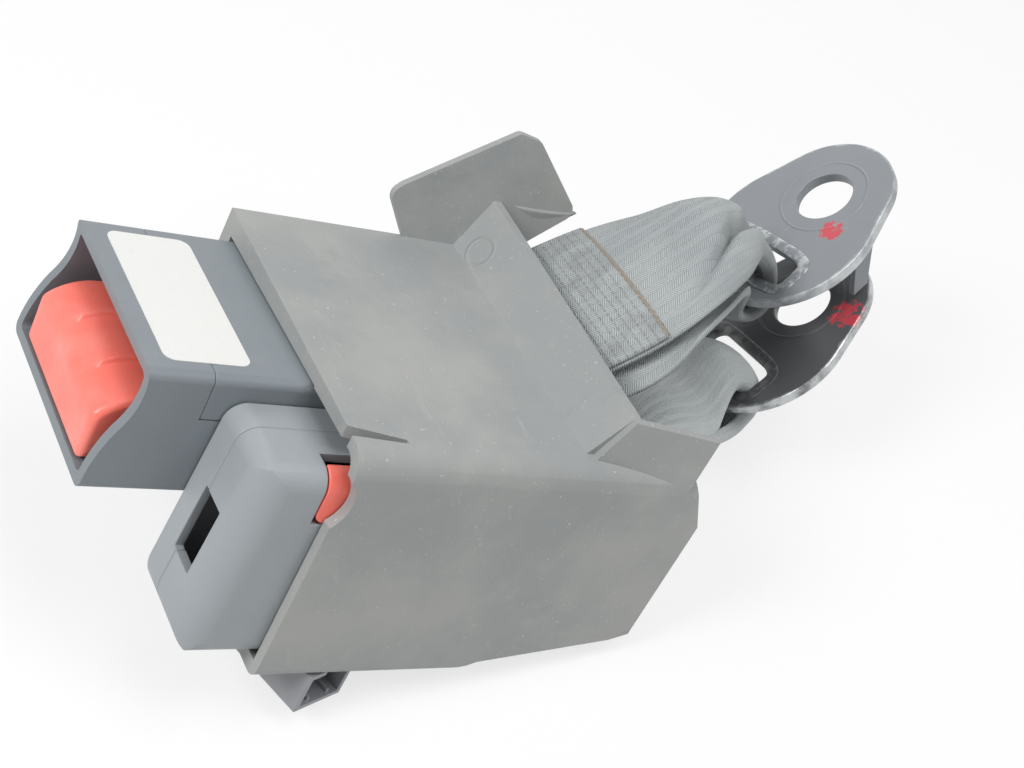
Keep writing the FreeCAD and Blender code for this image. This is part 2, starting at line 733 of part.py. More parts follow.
def webbing(place, side, pin, pin_axis, pin_radius, inner_width, leave, stations):
    """A webbing loop: a ring about its pin, a band through the stations, and an eye about the plate's bar."""
    ring, hole, centre, across = webbing_eye(place)
    across = across * side
    leave = (leave - across * across.dot(leave)).normalize()
    through = leave.cross(across)
    sections = [band_section(*s) for s in stations]
    sections.append(band_section(centre + leave * 13, across, through, folded_width + 2, folded_thick))
    sections.append(band_section(centre + leave * (eye_radius + 0.3), across, through, folded_width,
                                 folded_thick))
    band = Part.makeLoft(sections, True, True)
    pin_ring = rod(pin - pin_axis * (inner_width / 2), pin_axis, pin_radius + 1.6, inner_width)
    pin_hole = rod(pin - pin_axis * inner_width, pin_axis, pin_radius + pin_clearance, 2 * inner_width)
    return joined(band, ring, pin_ring).cut(hole).cut(pin_hole)


def webbing_main():
    """The main buckle's webbing: flat out of the boot, then folded lengthwise into the upper plate's slot."""
    pin = V(main_pin_x, 0, main_pin_height())
    square = V(-0.669, 0, 0.743)
    width = frame_width - 2 * frame_plate - 1.0
    stations = [(pin + X_AXIS * 1.5, Y_AXIS, Z_AXIS, width, 7.0),
                (V(89, 0, -9.4), Y_AXIS, V(-0.3, 0, 0.95), width, webbing_thick),
                (V(106, -0.5, 6.0), Y_AXIS, square, webbing_width - 3, webbing_thick),
                (V(121, 0, 19.2), Y_AXIS, square, webbing_width - 5, webbing_thick),
                (V(139, 4, 30), V(0, 1, -0.1), V(-0.35, 0, 0.94), 36, 5.0),
                (V(154, 9, 28.5), V(0, 0.98, -0.15), V(0.2, 0.1, 0.97), 28, 8.0)]
    return webbing(upper_place(), 1, pin, Y_AXIS, main_pin_radius, width, V(-0.9, 0, 0.43), stations)


def webbing_centre():
    """The centre buckle's webbing: upright out of the boot, turned and folded into the lower plate's slot."""
    pin = V(centre_pin_end(), centre_frame_y() - 3.5, centre_mid)
    width = centre_frame_width - 2 * centre_frame_plate - 1.0
    stations = [(pin + X_AXIS * 1.5, Z_AXIS, Y_AXIS, width, 5.4),
                (V(94, pin.y, centre_mid), Z_AXIS, Y_AXIS, width, webbing_thick),
                (V(116, pin.y, centre_mid + 2.5), Z_AXIS, Y_AXIS, 36, webbing_thick),
                (V(134, -33, -24.5), V(-0.05, -0.2, 0.97), V(-0.35, 0.92, 0.2), 32, 5.0),
                (V(152, -16, -20), V(-0.15, -0.68, 0.72), V(-0.45, 0.66, 0.6), 27, 8.0)]
    leave = V(-0.766, 0.063, -0.64)
    return webbing(lower_place(), -1, pin, Z_AXIS, centre_pin_radius, width, leave, stations)


def connector_frame():
    """A placement at the connector's lower mouth corner: X across it, Y into it, Z up."""
    turn = FreeCAD.Rotation(Z_AXIS, connector_turn)
    corner = V(connector_corner.x, connector_corner.y, boot_foot - connector_height)
    return FreeCAD.Placement(corner, turn)


def connector_shell():
    """The sensor's two way connector housing, open at its mouth."""
    body = block(0, connector_width, 0, connector_length, 0, connector_height)
    mouth = block(connector_wall, connector_width - connector_wall, -1, connector_length - 8, connector_wall,
                  connector_height - connector_wall)
    ribs = [block(x - 0.4, x + 0.4, 0.6, 9, connector_wall, connector_wall + 1.2)
            for x in (4.2, connector_width - 4.2)]
    notch = block(connector_width / 2 - 2, connector_width / 2 + 2, -1, 6,
                  connector_height - connector_wall - 1, connector_height + 1)
    shell = joined(body.cut(mouth).cut(notch), *ribs)
    shell.Placement = connector_frame()
    return shell


def connector_terminals():
    """The two blades in the connector."""
    height = connector_height / 2
    blades = []
    for x in (connector_width * 0.35, connector_width * 0.65):
        blade = block(x - terminal_width / 2, x + terminal_width / 2, 6, connector_length - 8,
                      height - terminal_thick / 2, height + terminal_thick / 2)
        blade.Placement = connector_frame()
        blades.append(blade)
    return Part.makeCompound(blades)


def all_nodes():
    """Every sub-part in the buckle frame, by name."""
    lower_shell, top_cover = main_shells()
    front_shell, back_shell = centre_shells()
    upper_plate = joined(anchor_plate(), plate_tab())
    upper_plate.Placement = upper_place()
    lower_plate = anchor_plate()
    lower_plate.Placement = lower_place()
    half = frame_width / 2
    length = frame_width + 2 * pin_head
    latch_pin = rod(V(latch_pin_x, -half - pin_head, -latch_pin_drop), Y_AXIS, latch_pin_radius, length)
    main_pin = rod(V(main_pin_x, -half - pin_head, main_pin_height()), Y_AXIS, main_pin_radius, length)
    low = centre_mid - centre_frame_width / 2 - pin_head
    length = centre_frame_width + 2 * pin_head
    centre_latch_pin = rod(V(centre_pin_x, centre_latch_y(), low), Z_AXIS, latch_pin_radius, length)
    centre_pin = rod(V(centre_pin_end(), centre_frame_y() - 3.5, low), Z_AXIS, centre_pin_radius, length)
    return {
        "main_lower_shell": lower_shell, "main_top_cover": top_cover, "press_button": press_button(),
        "button_springs": button_springs(), "main_frame": main_frame(), "main_latch": main_latch(),
        "main_latch_pin": latch_pin, "lock_slider": lock_slider(), "main_ejector": main_ejector(),
        "main_ejector_spring": main_ejector_spring(), "main_webbing_pin": main_pin,
        "buckle_switch": buckle_switch(), "label": label(),
        "centre_front_shell": front_shell, "centre_back_shell": back_shell,
        "release_button": release_button(), "release_spring": release_spring(),
        "centre_frame": centre_frame(), "centre_latch": centre_latch(), "centre_latch_pin": centre_latch_pin,
        "centre_ejector": centre_ejector(), "centre_ejector_spring": centre_ejector_spring(),
        "centre_webbing_pin": centre_pin, "rubber_boot": boot(),
        "webbing_main": webbing_main(), "webbing_centre": webbing_centre(),
        "upper_anchor_plate": upper_plate, "lower_anchor_plate": lower_plate,
        "connector_shell": connector_shell(), "connector_terminals": connector_terminals(),
    }


def rest_rotation():
    """The turn from the buckle frame to the table: up is square to the three points that it rests on."""
    connector_low = V(connector_corner.x, connector_corner.y, boot_foot - connector_height)
    near_low = V(boot_end, boot_near, boot_rear_foot)
    far_low = V(boot_far_end, boot_far, boot_floor)
    up = (near_low - connector_low).cross(far_low - connector_low).normalize()
    ahead = (X_AXIS - up * up.dot(X_AXIS)).normalize()
    return FreeCAD.Rotation(ahead, up.cross(ahead), up, "ZXY").inverted()


def placed(nodes):
    """The sub-parts turned to their rest and moved so that the footprint's middle is the origin."""
    turn = FreeCAD.Placement(V(0, 0, 0), rest_rotation())
    for shape in nodes.values():
        shape.Placement = turn.multiply(shape.Placement)
    boxes = [shape.optimalBoundingBox() for shape in nodes.values()]
    low = V(*[min(getattr(b, k) for b in boxes) for k in ("XMin", "YMin", "ZMin")])
    high = V(*[max(getattr(b, k) for b in boxes) for k in ("XMax", "YMax", "ZMax")])
    shift = V(-(low.x + high.x) / 2, -(low.y + high.y) / 2, -low.z)
    for shape in nodes.values():
        shape.translate(shift)
    return nodes, shift


if __name__ == "__main__":
    os.makedirs("parts", exist_ok=True)
    parts, offset = placed(all_nodes())
    for name, shape in parts.items():
        print(name, shape.ShapeType, len(shape.Solids), shape.isValid(), round(shape.Volume, 1))
        shape.exportStep(f"parts/{name}.step")
    print("offset", offset)
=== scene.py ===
import math

import bmesh
import bpy
import numpy as np
from mathutils import Matrix, Vector


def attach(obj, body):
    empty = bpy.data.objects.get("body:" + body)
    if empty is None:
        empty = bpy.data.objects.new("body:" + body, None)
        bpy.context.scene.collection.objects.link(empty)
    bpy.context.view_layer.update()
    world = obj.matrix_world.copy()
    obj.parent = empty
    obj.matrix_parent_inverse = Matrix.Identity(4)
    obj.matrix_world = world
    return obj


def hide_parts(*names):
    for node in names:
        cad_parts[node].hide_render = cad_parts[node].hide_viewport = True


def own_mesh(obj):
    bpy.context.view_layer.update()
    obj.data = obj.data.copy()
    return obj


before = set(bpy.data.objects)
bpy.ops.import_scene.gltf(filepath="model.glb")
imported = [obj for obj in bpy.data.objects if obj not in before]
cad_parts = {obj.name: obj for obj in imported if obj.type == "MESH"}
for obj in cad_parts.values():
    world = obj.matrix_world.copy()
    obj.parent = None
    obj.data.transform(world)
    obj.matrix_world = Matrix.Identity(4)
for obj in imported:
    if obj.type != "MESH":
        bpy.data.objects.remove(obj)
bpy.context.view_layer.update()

# The turn and shift from the buckle frame in millimetres to the row frame
TURN = np.array([[0.966208, -0.047344, 0.253377],
                 [0.0, 0.982988, 0.183672],
                 [-0.257762, -0.177466, 0.949771]])
SHIFT = np.array([-97.9594, 8.4194, 75.2336])
WEBBING_WIDTH = 47.0
WEBBING_THICK = 1.3

# How near two corners are one, in metres, how flat two faces are one, and how sharp an edge is rounded
WELD = 2e-6
FLAT_ANGLE = math.radians(0.6)
EDGE_ANGLE = math.radians(35)


def rowed(points):
    """Points in the buckle frame, in millimetres, turned and moved to the row frame in metres."""
    return (np.asarray(points, float) @ TURN.T + SHIFT) / 1000


def turned(directions):
    """Directions in the buckle frame, turned to the row frame."""
    return np.asarray(directions, float) @ TURN.T


def unit(vectors):
    """Vectors divided by their own lengths."""
    vectors = np.asarray(vectors, float)
    return vectors / np.maximum(np.linalg.norm(vectors, axis=-1, keepdims=True), 1e-9)


# Meshes


def make_object(name, verts, faces, smooth=True, merged=False):
    """A mesh object at the origin from arrays of points and corners; merged closes its seams and poles."""
    mesh = bpy.data.meshes.new(name)
    mesh.from_pydata(np.asarray(verts).reshape(-1, 3).tolist(), [], np.asarray(faces).tolist())
    if merged:
        work = bmesh.new()
        work.from_mesh(mesh)
        bmesh.ops.remove_doubles(work, verts=work.verts, dist=1e-6)
        bmesh.ops.recalc_face_normals(work, faces=work.faces)
        work.to_mesh(mesh)
        work.free()
    mesh.polygons.foreach_set("use_smooth", np.full(len(mesh.polygons), smooth))
    mesh.update()
    obj = bpy.data.objects.new(name, mesh)
    bpy.context.scene.collection.objects.link(obj)
    return obj


def grid_faces(rows, columns, closed_rows=False, closed_columns=False):
    """The quads of a grid of rows by columns, each row's points in order, with either way closed on itself."""
    r = np.arange(rows if closed_rows else rows - 1)
    c = np.arange(columns if closed_columns else columns - 1)
    rr, cc = np.meshgrid(r, c, indexing="ij")
    r1, c1 = (rr + 1) % rows, (cc + 1) % columns
    corners = [rr * columns + cc, rr * columns + c1, r1 * columns + c1, r1 * columns + cc]
    return np.stack([q.ravel() for q in corners], 1)


def grid_object(name, grid, uv):
    """A surface from a grid of points, with a UV map in metres from each point's own place on the cloth."""
    faces = grid_faces(*grid.shape[:2])
    obj = make_object(name, grid, faces)
    layer = obj.data.uv_layers.new(name="cloth")
    flat = uv.reshape(-1, 2)[faces.ravel()]
    layer.data.foreach_set("uv", flat.astype(np.float32).ravel())
    return obj


def spline(knots, values, at):
    """Smooth values at places between knots: a cubic between each two, with slopes from their neighbours."""
    knots, values, at = np.asarray(knots, float), np.asarray(values, float), np.asarray(at, float)
    if values.ndim == 1:
        values = values[:, None]
    slopes = np.gradient(values, knots, axis=0)
    i = np.clip(np.searchsorted(knots, at, side="right") - 1, 0, len(knots) - 2)
    step = (knots[i + 1] - knots[i])[:, None]
    t = (at - knots[i])[:, None] / step
    low, high = values[i], values[i + 1]
    return ((2 * t**3 - 3 * t**2 + 1) * low + (t**3 - 2 * t**2 + t) * step * slopes[i]
            + (3 * t**2 - 2 * t**3) * high + (t**3 - t**2) * step * slopes[i + 1])


def chord_lengths(points):
    """The running length along a row of points."""
    steps = np.linalg.norm(np.diff(points, axis=0), axis=1)
    return np.concatenate([[0], np.cumsum(steps)])


def softened(name, node, width, body):
    """A copy of a CAD node with its doubles merged, its flat facets joined and its edges rounded."""
    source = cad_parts[node]
    work = bmesh.new()
    work.from_mesh(source.data)
    bmesh.ops.remove_doubles(work, verts=work.verts, dist=WELD)
    bmesh.ops.dissolve_limit(work, angle_limit=FLAT_ANGLE, verts=work.verts, edges=work.edges)
    mesh = bpy.data.meshes.new(name)
    work.to_mesh(mesh)
    work.free()
    mesh.polygons.foreach_set("use_smooth", np.ones(len(mesh.polygons), bool))
    obj = bpy.data.objects.new(name, mesh)
    bpy.context.scene.collection.objects.link(obj)
    bevel = obj.modifiers.new("edges", "BEVEL")
    bevel.width = width / 1000
    bevel.segments = 2
    bevel.limit_method = "ANGLE"
    bevel.angle_limit = EDGE_ANGLE
    bevel.use_clamp_overlap = True
    bevel.miter_outer = "MITER_ARC"
    flat_shaded(obj)
    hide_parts(node)
    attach(obj, body)
    return obj


def flat_shaded(obj):
    """Large faces keep their own normals, so only the rounded edges between them shade smoothly."""
    weigh = obj.modifiers.new("normals", "WEIGHTED_NORMAL")
    weigh.mode = "FACE_AREA"
    weigh.weight = 90
    weigh.keep_sharp = True


# Shader nodes


class Finish:
    """A material being built: its node tree, its shader and short calls for the nodes that this part uses."""

    def __init__(self, name, metallic=0.0):
        self.material = bpy.data.materials.new(name)
        self.material.use_nodes = True
        self.tree = self.material.node_tree
        self.shader = self.tree.nodes["Principled BSDF"]
        self.shader.inputs["Metallic"].default_value = metallic
        coordinates = self.add("ShaderNodeTexCoord")
        self.place, self.cloth = coordinates.outputs["Object"], coordinates.outputs["UV"]

    def add(self, kind, **settings):
        node = self.tree.nodes.new(kind)
        for key, value in settings.items():
            setattr(node, key, value)
        return node

    def join(self, value, socket):
        """Links an output, or sets a plain number or colour."""
        if isinstance(value, bpy.types.NodeSocket):
            self.tree.links.new(value, socket)
        else:
            socket.default_value = value

    def math(self, operation, a, b=0.0):
        node = self.add("ShaderNodeMath", operation=operation)
        self.join(a, node.inputs[0])
        self.join(b, node.inputs[1])
        return node.outputs[0]

    def noise(self, scale, detail=3.0, roughness=0.55, vector=None):
        node = self.add("ShaderNodeTexNoise")
        self.join(self.place if vector is None else vector, node.inputs["Vector"])
        node.inputs["Scale"].default_value = scale
        node.inputs["Detail"].default_value = detail
        node.inputs["Roughness"].default_value = roughness
        return node.outputs["Fac"]

    def cells(self, scale):
        node = self.add("ShaderNodeTexVoronoi", feature="F1")
        self.join(self.place, node.inputs["Vector"])
        node.inputs["Scale"].default_value = scale
        return node.outputs["Distance"]

    def stretched(self, scale, rotation=(0, 0, 0)):
        """The object's coordinates turned and then scaled, for streaks and scratches."""
        node = self.add("ShaderNodeMapping")
        self.join(self.place, node.inputs["Vector"])
        node.inputs["Rotation"].default_value = rotation
        node.inputs["Scale"].default_value = scale
        return node.outputs["Vector"]

    def step(self, value, low, high):
        """0 below low, 1 above high, smooth between."""
        node = self.add("ShaderNodeMapRange", interpolation_type="SMOOTHSTEP")
        self.join(value, node.inputs["Value"])
        node.inputs["From Min"].default_value = low
        node.inputs["From Max"].default_value = high
        return node.outputs["Result"]

    def span(self, value, low, high):
        """A value from 0 to 1 spread from low to high."""
        node = self.add("ShaderNodeMapRange")
        self.join(value, node.inputs["Value"])
        node.inputs["To Min"].default_value = low
        node.inputs["To Max"].default_value = high
        return node.outputs["Result"]

    def blend(self, amount, first, second):
        node = self.add("ShaderNodeMix", data_type="RGBA")
        self.join(amount, node.inputs["Factor"])
        for value, socket in ((first, node.inputs["A"]), (second, node.inputs["B"])):
            self.join(value if isinstance(value, bpy.types.NodeSocket) else (*value, 1), socket)
        return node.outputs["Result"]

    def near(self, point, radius, soft):
        """1 within a radius of a point in the row frame, falling to 0 over a soft edge."""
        node = self.add("ShaderNodeVectorMath", operation="DISTANCE")
        self.join(self.place, node.inputs[0])
        node.inputs[1].default_value = tuple(point)
        return self.math("SUBTRACT", 1.0, self.step(node.outputs["Value"], radius - soft, radius + soft))

    def axis(self, origin, direction):
        """The distance along a direction from a point, in metres."""
        away = self.add("ShaderNodeVectorMath", operation="SUBTRACT")
        self.join(self.place, away.inputs[0])
        away.inputs[1].default_value = tuple(origin)
        along = self.add("ShaderNodeVectorMath", operation="DOT_PRODUCT")
        self.join(away.outputs["Vector"], along.inputs[0])
        along.inputs[1].default_value = tuple(direction)
        return along.outputs["Value"]

    def bump(self, height, strength, distance, under=None):
        node = self.add("ShaderNodeBump")
        node.inputs["Strength"].default_value = strength
        node.inputs["Distance"].default_value = distance
        self.join(height, node.inputs["Height"])
        if under is not None:
            self.join(under, node.inputs["Normal"])
        return node.outputs["Normal"]

    def set(self, **sockets):
        """Sets or links the shader's sockets by short names, and gives the finished material."""
        names = {"base": "Base Color", "rough": "Roughness", "normal": "Normal", "metal": "Metallic",
                 "sheen": "Sheen Weight"}
        for key, value in sockets.items():
            self.join(value, self.shader.inputs[names[key]])
        return self.material


def tone(red, green, blue):
    """A display colour from 0 to 255 as the linear one that a shader takes."""
    out = []
    for value in (red, green, blue):
        c = value / 255
        out.append(c / 12.92 if c <= 0.04045 else ((c + 0.055) / 1.055) ** 2.4)
    return tuple(out)


def lighter(colour, lift):
    """A display colour made lighter by so many steps of 255, as the linear one."""
    return tone(*(v + lift for v in colour))


def grey_plastic(name, low, high):
    """Fine grained moulded plastic: a spark eroded grain, faint cloudiness, light scuffs and a little dust."""
    f = Finish(name)
    cloud = f.noise(35, 4)
    scuff = f.step(f.noise(600, 6, 0.75, f.stretched((1, 0.12, 0.4), (0.3, 0.2, 0.9))), 0.66, 0.78)
    base = f.blend(cloud, tone(*low), tone(*high))
    base = f.blend(f.math("MULTIPLY", scuff, 0.35), base, lighter(high, 34))
    dust = f.step(f.noise(2400, 2), 0.71, 0.78)
    base = f.blend(f.math("MULTIPLY", dust, 0.4), base, lighter(high, 48))
    grain = f.bump(f.cells(2300), 0.22, 0.00012)
    normal = f.bump(f.noise(90, 3), 0.12, 0.0008, grain)
    return f.set(base=base, rough=f.span(f.noise(260, 4), 0.42, 0.58), normal=normal)


def boot_rubber():
    """Soft rubber: matt and dusty, blotchy from handling, with scratches, specks and shallow waves."""
    f = Finish("boot rubber")
    blotch = f.step(f.noise(22, 5, 0.6), 0.36, 0.68)
    base = f.blend(blotch, tone(148, 151, 151), tone(163, 164, 161))
    stain = f.step(f.noise(45, 6, 0.7, f.stretched((1, 0.6, 1), (0, 0, 0.7))), 0.56, 0.74)
    base = f.blend(f.math("MULTIPLY", stain, 0.45), base, tone(170, 169, 164))
    dark = f.step(f.noise(60, 5, 0.6, f.stretched((0.5, 1.3, 1), (0.4, 0, 0.2))), 0.6, 0.75)
    base = f.blend(f.math("MULTIPLY", dark, 0.4), base, tone(132, 136, 137))
    scratch = f.step(f.noise(420, 5, 0.8, f.stretched((0.09, 1.2, 0.7), (0.2, 0.5, 0.55))), 0.67, 0.75)
    base = f.blend(f.math("MULTIPLY", scratch, 0.6), base, tone(190, 190, 185))
    scuff = f.step(f.noise(190, 6, 0.75, f.stretched((1.4, 0.2, 0.5), (0.9, 0.1, 1.1))), 0.6, 0.74)
    base = f.blend(f.math("MULTIPLY", scuff, 0.4), base, tone(182, 181, 176))
    speck = f.step(f.noise(1100, 2), 0.68, 0.75)
    base = f.blend(f.math("MULTIPLY", speck, 0.6), base, tone(204, 204, 198))
    mark = ejector_mark(f)
    grain = f.bump(f.noise(3200, 2), 0.25, 0.00014)
    waves = f.bump(f.noise(28, 3, 0.5), 0.35, 0.0025, grain)
    normal = f.bump(mark, 0.6, 0.00035, waves)
    return f.set(base=base, rough=f.span(f.noise(120, 4), 0.55, 0.78), normal=normal)


def ejector_mark(f):
    """The round moulding mark on the scoop's raised wall: a shallow ring."""
    centre, outer_radius, inner_radius, soft = rowed([96.0, 22.0, 9.0]), 0.0042, 0.0036, 0.0003
    return f.math("SUBTRACT", f.near(centre, outer_radius, soft), f.near(centre, inner_radius, soft))


def red_plastic():
    """Satin red button plastic, a little faded, with fine grain and paler rubbed patches."""
    f = Finish("red button plastic")
    fade = f.step(f.noise(60, 4), 0.4, 0.7)
    base = f.blend(fade, tone(253, 120, 105), tone(255, 142, 130))
    rub = f.step(f.noise(300, 5, 0.7, f.stretched((1, 0.2, 0.6))), 0.64, 0.78)
    base = f.blend(f.math("MULTIPLY", rub, 0.5), base, tone(252, 172, 163))
    grain = f.bump(f.cells(2600), 0.15, 0.0001)
    return f.set(base=base, rough=f.span(f.noise(180, 3), 0.28, 0.42), normal=grain)


def weave(name, sewn=False, lift=0):
    """Belt webbing: lengthwise ribs of twill that lean one way and then the other, in metres on the cloth's UV
    map, with painted shade in the grooves between the yarns. Where it is sewn, rows of stitches cross it and
    grime lies between them. Lift makes its yarn lighter: painted light, for a loop that lies in shade."""
    f = Finish(name)
    split = f.add("ShaderNodeSeparateXYZ")
    f.join(f.cloth, split.inputs[0])
    across, along = split.outputs["X"], split.outputs["Y"]
    rib, lean, pitch = 0.0023, 2900.0, 5200.0
    phase = f.math("PINGPONG", across, rib)
    twill = f.math("ADD", f.math("MULTIPLY", phase, lean), f.math("MULTIPLY", along, pitch))
    yarn = f.math("ABSOLUTE", f.math("SINE", twill))
    valley = f.math("ABSOLUTE", f.math("SINE", f.math("MULTIPLY", across, math.pi / rib)))
    valley = f.step(valley, 0.0, 0.35)
    height = f.math("MULTIPLY", f.span(yarn, 0.35, 1.0), f.span(valley, 0.72, 1.0))
    fade = f.step(f.noise(40, 4), 0.35, 0.7)
    light = f.blend(fade, lighter((166, 173, 175), lift), lighter((182, 188, 189), lift))
    # Painted shade: the grooves between the yarns take this darker colour, and the yarn's tops take the lighter
    # one.
    painted_groove_shade = f.blend(fade, lighter((126, 130, 131), lift), lighter((138, 140, 139), lift))
    base = f.blend(f.step(height, 0.25, 0.8), painted_groove_shade, light)
    fuzz = f.step(f.noise(2600, 3, 0.7), 0.62, 0.75)
    base = f.blend(f.math("MULTIPLY", fuzz, 0.35), base, tone(196, 199, 197))
    if sewn:
        row_step, stitch_length = 0.0021, 0.0017
        row = f.math("ABSOLUTE", f.math("SINE", f.math("MULTIPLY", along, math.pi / row_step)))
        dash = f.math("ABSOLUTE", f.math("SINE", f.math("MULTIPLY", across, math.pi / stitch_length)))
        stitch = f.math("MULTIPLY", f.step(row, 0.86, 0.98), f.step(dash, 0.25, 0.6))
        grime = f.step(f.noise(150, 5, 0.65), 0.42, 0.66)
        base = f.blend(f.math("MULTIPLY", grime, 0.42), base, tone(120, 121, 118))
        base = f.blend(f.math("MULTIPLY", stitch, 0.32), base, tone(100, 102, 101))
        height = f.math("SUBTRACT", height, f.math("MULTIPLY", stitch, 0.5))
    cloth = f.bump(height, 0.75, 0.0005)
    normal = f.bump(f.noise(140, 3), 0.15, 0.0012, cloth)
    return f.set(base=base, rough=0.82, normal=normal, sheen=0.2)


def painted_plate(name, plate, dark, light, daub_at, gloss):
    """Satin paint on a steel plate, worn to bright metal along its outline, with a daub of marking paint.
    The outline's distance is that of the hull of two circles: the round end's, the tip's or the straight
    flank's, by where the point lies. The daub's place is along and across from the hole, with its radius."""
    f = Finish(name)
    hole, lengthwise, crosswise, outwards = plate
    home = rowed(hole)
    along, across = f.axis(home, turned(lengthwise)), f.axis(home, turned(crosswise))
    aside = f.math("ABSOLUTE", across)
    from_end = f.math("ADD", along, END_OFFSET / 1000)
    along_flank = f.math("ADD", f.math("MULTIPLY", aside, -FLANK_SLOPE),
                         f.math("MULTIPLY", from_end, FLANK_SQUARE))
    flank = f.math("ADD", f.math("MULTIPLY", aside, FLANK_SQUARE), f.math("MULTIPLY", from_end, FLANK_SLOPE))
    flank = f.math("SUBTRACT", flank, END_RADIUS / 1000)
    end = f.math("SUBTRACT", length_of(f, from_end, across), END_RADIUS / 1000)
    tip = f.math("SUBTRACT", length_of(f, along, across), TIP_RADIUS / 1000)
    past_end = f.math("GREATER_THAN", along_flank, 0.0)
    past_flank = f.math("GREATER_THAN", along_flank, FLANK_SQUARE * END_OFFSET / 1000)
    edge = f.math("ADD", end, f.math("MULTIPLY", past_end, f.math("SUBTRACT", flank, end)))
    edge = f.math("ADD", edge, f.math("MULTIPLY", past_flank, f.math("SUBTRACT", tip, flank)))
    ragged = f.math("ADD", edge, f.math("MULTIPLY", f.math("SUBTRACT", f.noise(150, 5, 0.7), 0.5), 0.0036))
    worn = f.step(ragged, -0.0009, 0.0004)
    scrape = f.step(f.noise(260, 6, 0.75, f.stretched((0.25, 1.5, 0.6), (0.6, 0.3, 0.4))), 0.62, 0.74)
    paint = f.blend(f.noise(50, 4), tone(*dark), tone(*light))
    paint = f.blend(f.math("MULTIPLY", scrape, 0.3), paint, lighter(light, 28))
    bare = f.blend(f.noise(500, 3), tone(178, 182, 184), tone(208, 211, 212))
    daub_along, daub_across, daub_radius = daub_at
    daub_place = rowed(hole + lengthwise * daub_along + crosswise * daub_across + outwards * PLATE_THICK / 2)
    daub = f.near(daub_place, daub_radius, daub_radius * 0.75)
    ragged_daub = f.step(f.math("MULTIPLY", daub, f.span(f.noise(520, 3), -0.9, 2.7)), 0.4, 0.6)
    paint = f.blend(f.math("MULTIPLY", ragged_daub, 0.85), paint, tone(206, 62, 76))
    base = f.blend(worn, paint, bare)
    dents = f.bump(f.noise(420, 4), 0.2, 0.0003)
    normal_out = f.bump(f.math("SUBTRACT", 1.0, worn), 0.3, 0.0001, dents)
    metal = f.span(worn, 0.2, 0.8)
    return f.set(base=base, rough=f.span(f.noise(300, 4), gloss, gloss + 0.14), metal=metal, normal=normal_out)


def length_of(f, a, b):
    """The length of a pair of distances."""
    squares = f.math("ADD", f.math("MULTIPLY", a, a), f.math("MULTIPLY", b, b))
    return f.math("SQRT", squares)


def sticker():
    """A bare white paper sticker: faint fibres, and grey patches where it has picked up dirt."""
    f = Finish("label paper")
    fibre = f.noise(1400, 4, 0.7)
    base = f.blend(fibre, tone(220, 220, 217), tone(229, 229, 227))
    grime = f.step(f.noise(120, 5, 0.65), 0.6, 0.76)
    base = f.blend(f.math("MULTIPLY", grime, 0.35), base, tone(206, 205, 200))
    normal = f.bump(f.noise(260, 3), 0.15, 0.0004)
    return f.set(base=base, rough=f.span(f.noise(200, 2), 0.4, 0.55), normal=normal)


def plated_steel(name, light):
    """Zinc plated or drawn steel with fine lengthwise marks."""
    f = Finish(name, metallic=0.9)
    drawn = f.noise(900, 4, 0.6, f.stretched((0.08, 1, 1)))
    base = f.blend(drawn, tone(light - 30, light - 28, light - 26), tone(light + 20, light + 20, light + 18))
    return f.set(base=base, rough=f.span(f.noise(300, 3), 0.28, 0.5), normal=f.bump(drawn, 0.2, 0.0001))


def worn_lip(name, paint, bare):
    """Paint worn through in patches to the steel, as on a slot's pressed lip."""
    f = Finish(name)
    worn = f.step(f.noise(330, 5, 0.7), 0.46, 0.6)
    base = f.blend(worn, tone(*paint), tone(*bare))
    return f.set(base=base, rough=f.span(f.noise(300, 3), 0.32, 0.5), metal=f.span(worn, 0.2, 0.6),
                 normal=f.bump(f.noise(420, 4), 0.2, 0.0003))


def dark_nylon():
    """The connector's satin nylon."""
    f = Finish("connector nylon")
    base = f.blend(f.noise(60, 4), tone(132, 134, 138), tone(150, 152, 156))
    dust = f.step(f.noise(1700, 2), 0.68, 0.76)
    base = f.blend(f.math("MULTIPLY", dust, 0.4), base, tone(170, 170, 168))
    return f.set(base=base, rough=f.span(f.noise(200, 3), 0.35, 0.55),
                 normal=f.bump(f.cells(2600), 0.15, 0.0001))


def pale_acetal():
    """The natural plastic of the sliders and ejectors."""
    f = Finish("acetal")
    base = f.blend(f.noise(90, 3), tone(198, 196, 188), tone(216, 214, 206))
    return f.set(base=base, rough=f.span(f.noise(300, 2), 0.35, 0.5),
                 normal=f.bump(f.noise(900, 2), 0.1, 0.0001))


def tinned_brass():
    """The terminals' tinned brass."""
    f = Finish("tinned brass", metallic=1.0)
    base = f.blend(f.noise(400, 3), tone(196, 184, 150), tone(222, 214, 190))
    return f.set(base=base, rough=f.span(f.noise(500, 2), 0.25, 0.4),
                 normal=f.bump(f.noise(1200, 2), 0.1, 0.0001))


def hem_thread():
    """The sewing thread, a browner grey than the webbing."""
    f = Finish("sewing thread")
    base = f.blend(f.noise(900, 3), tone(126, 116, 102), tone(154, 144, 130))
    return f.set(base=base, rough=f.span(f.noise(700, 2), 0.6, 0.8),
                 normal=f.bump(f.noise(4000, 2), 0.4, 0.0001))


# Webbing


def band_section(turn, depth, arc):
    """One width of webbing, as offsets across it and towards the loop's inside: flat where turn is small,
    and curled under at both edges as turn grows. Across is the sine and inwards is one minus the cosine of
    the angle along the width, scaled to the depth wanted."""
    angle = arc * turn[:, None] / WEBBING_WIDTH
    radius = WEBBING_WIDTH / turn[:, None]
    across = radius * np.sin(angle)
    inwards = depth[:, None] * (1 - np.cos(angle)) / (1 - np.cos(turn[:, None] / 2))
    return across, inwards


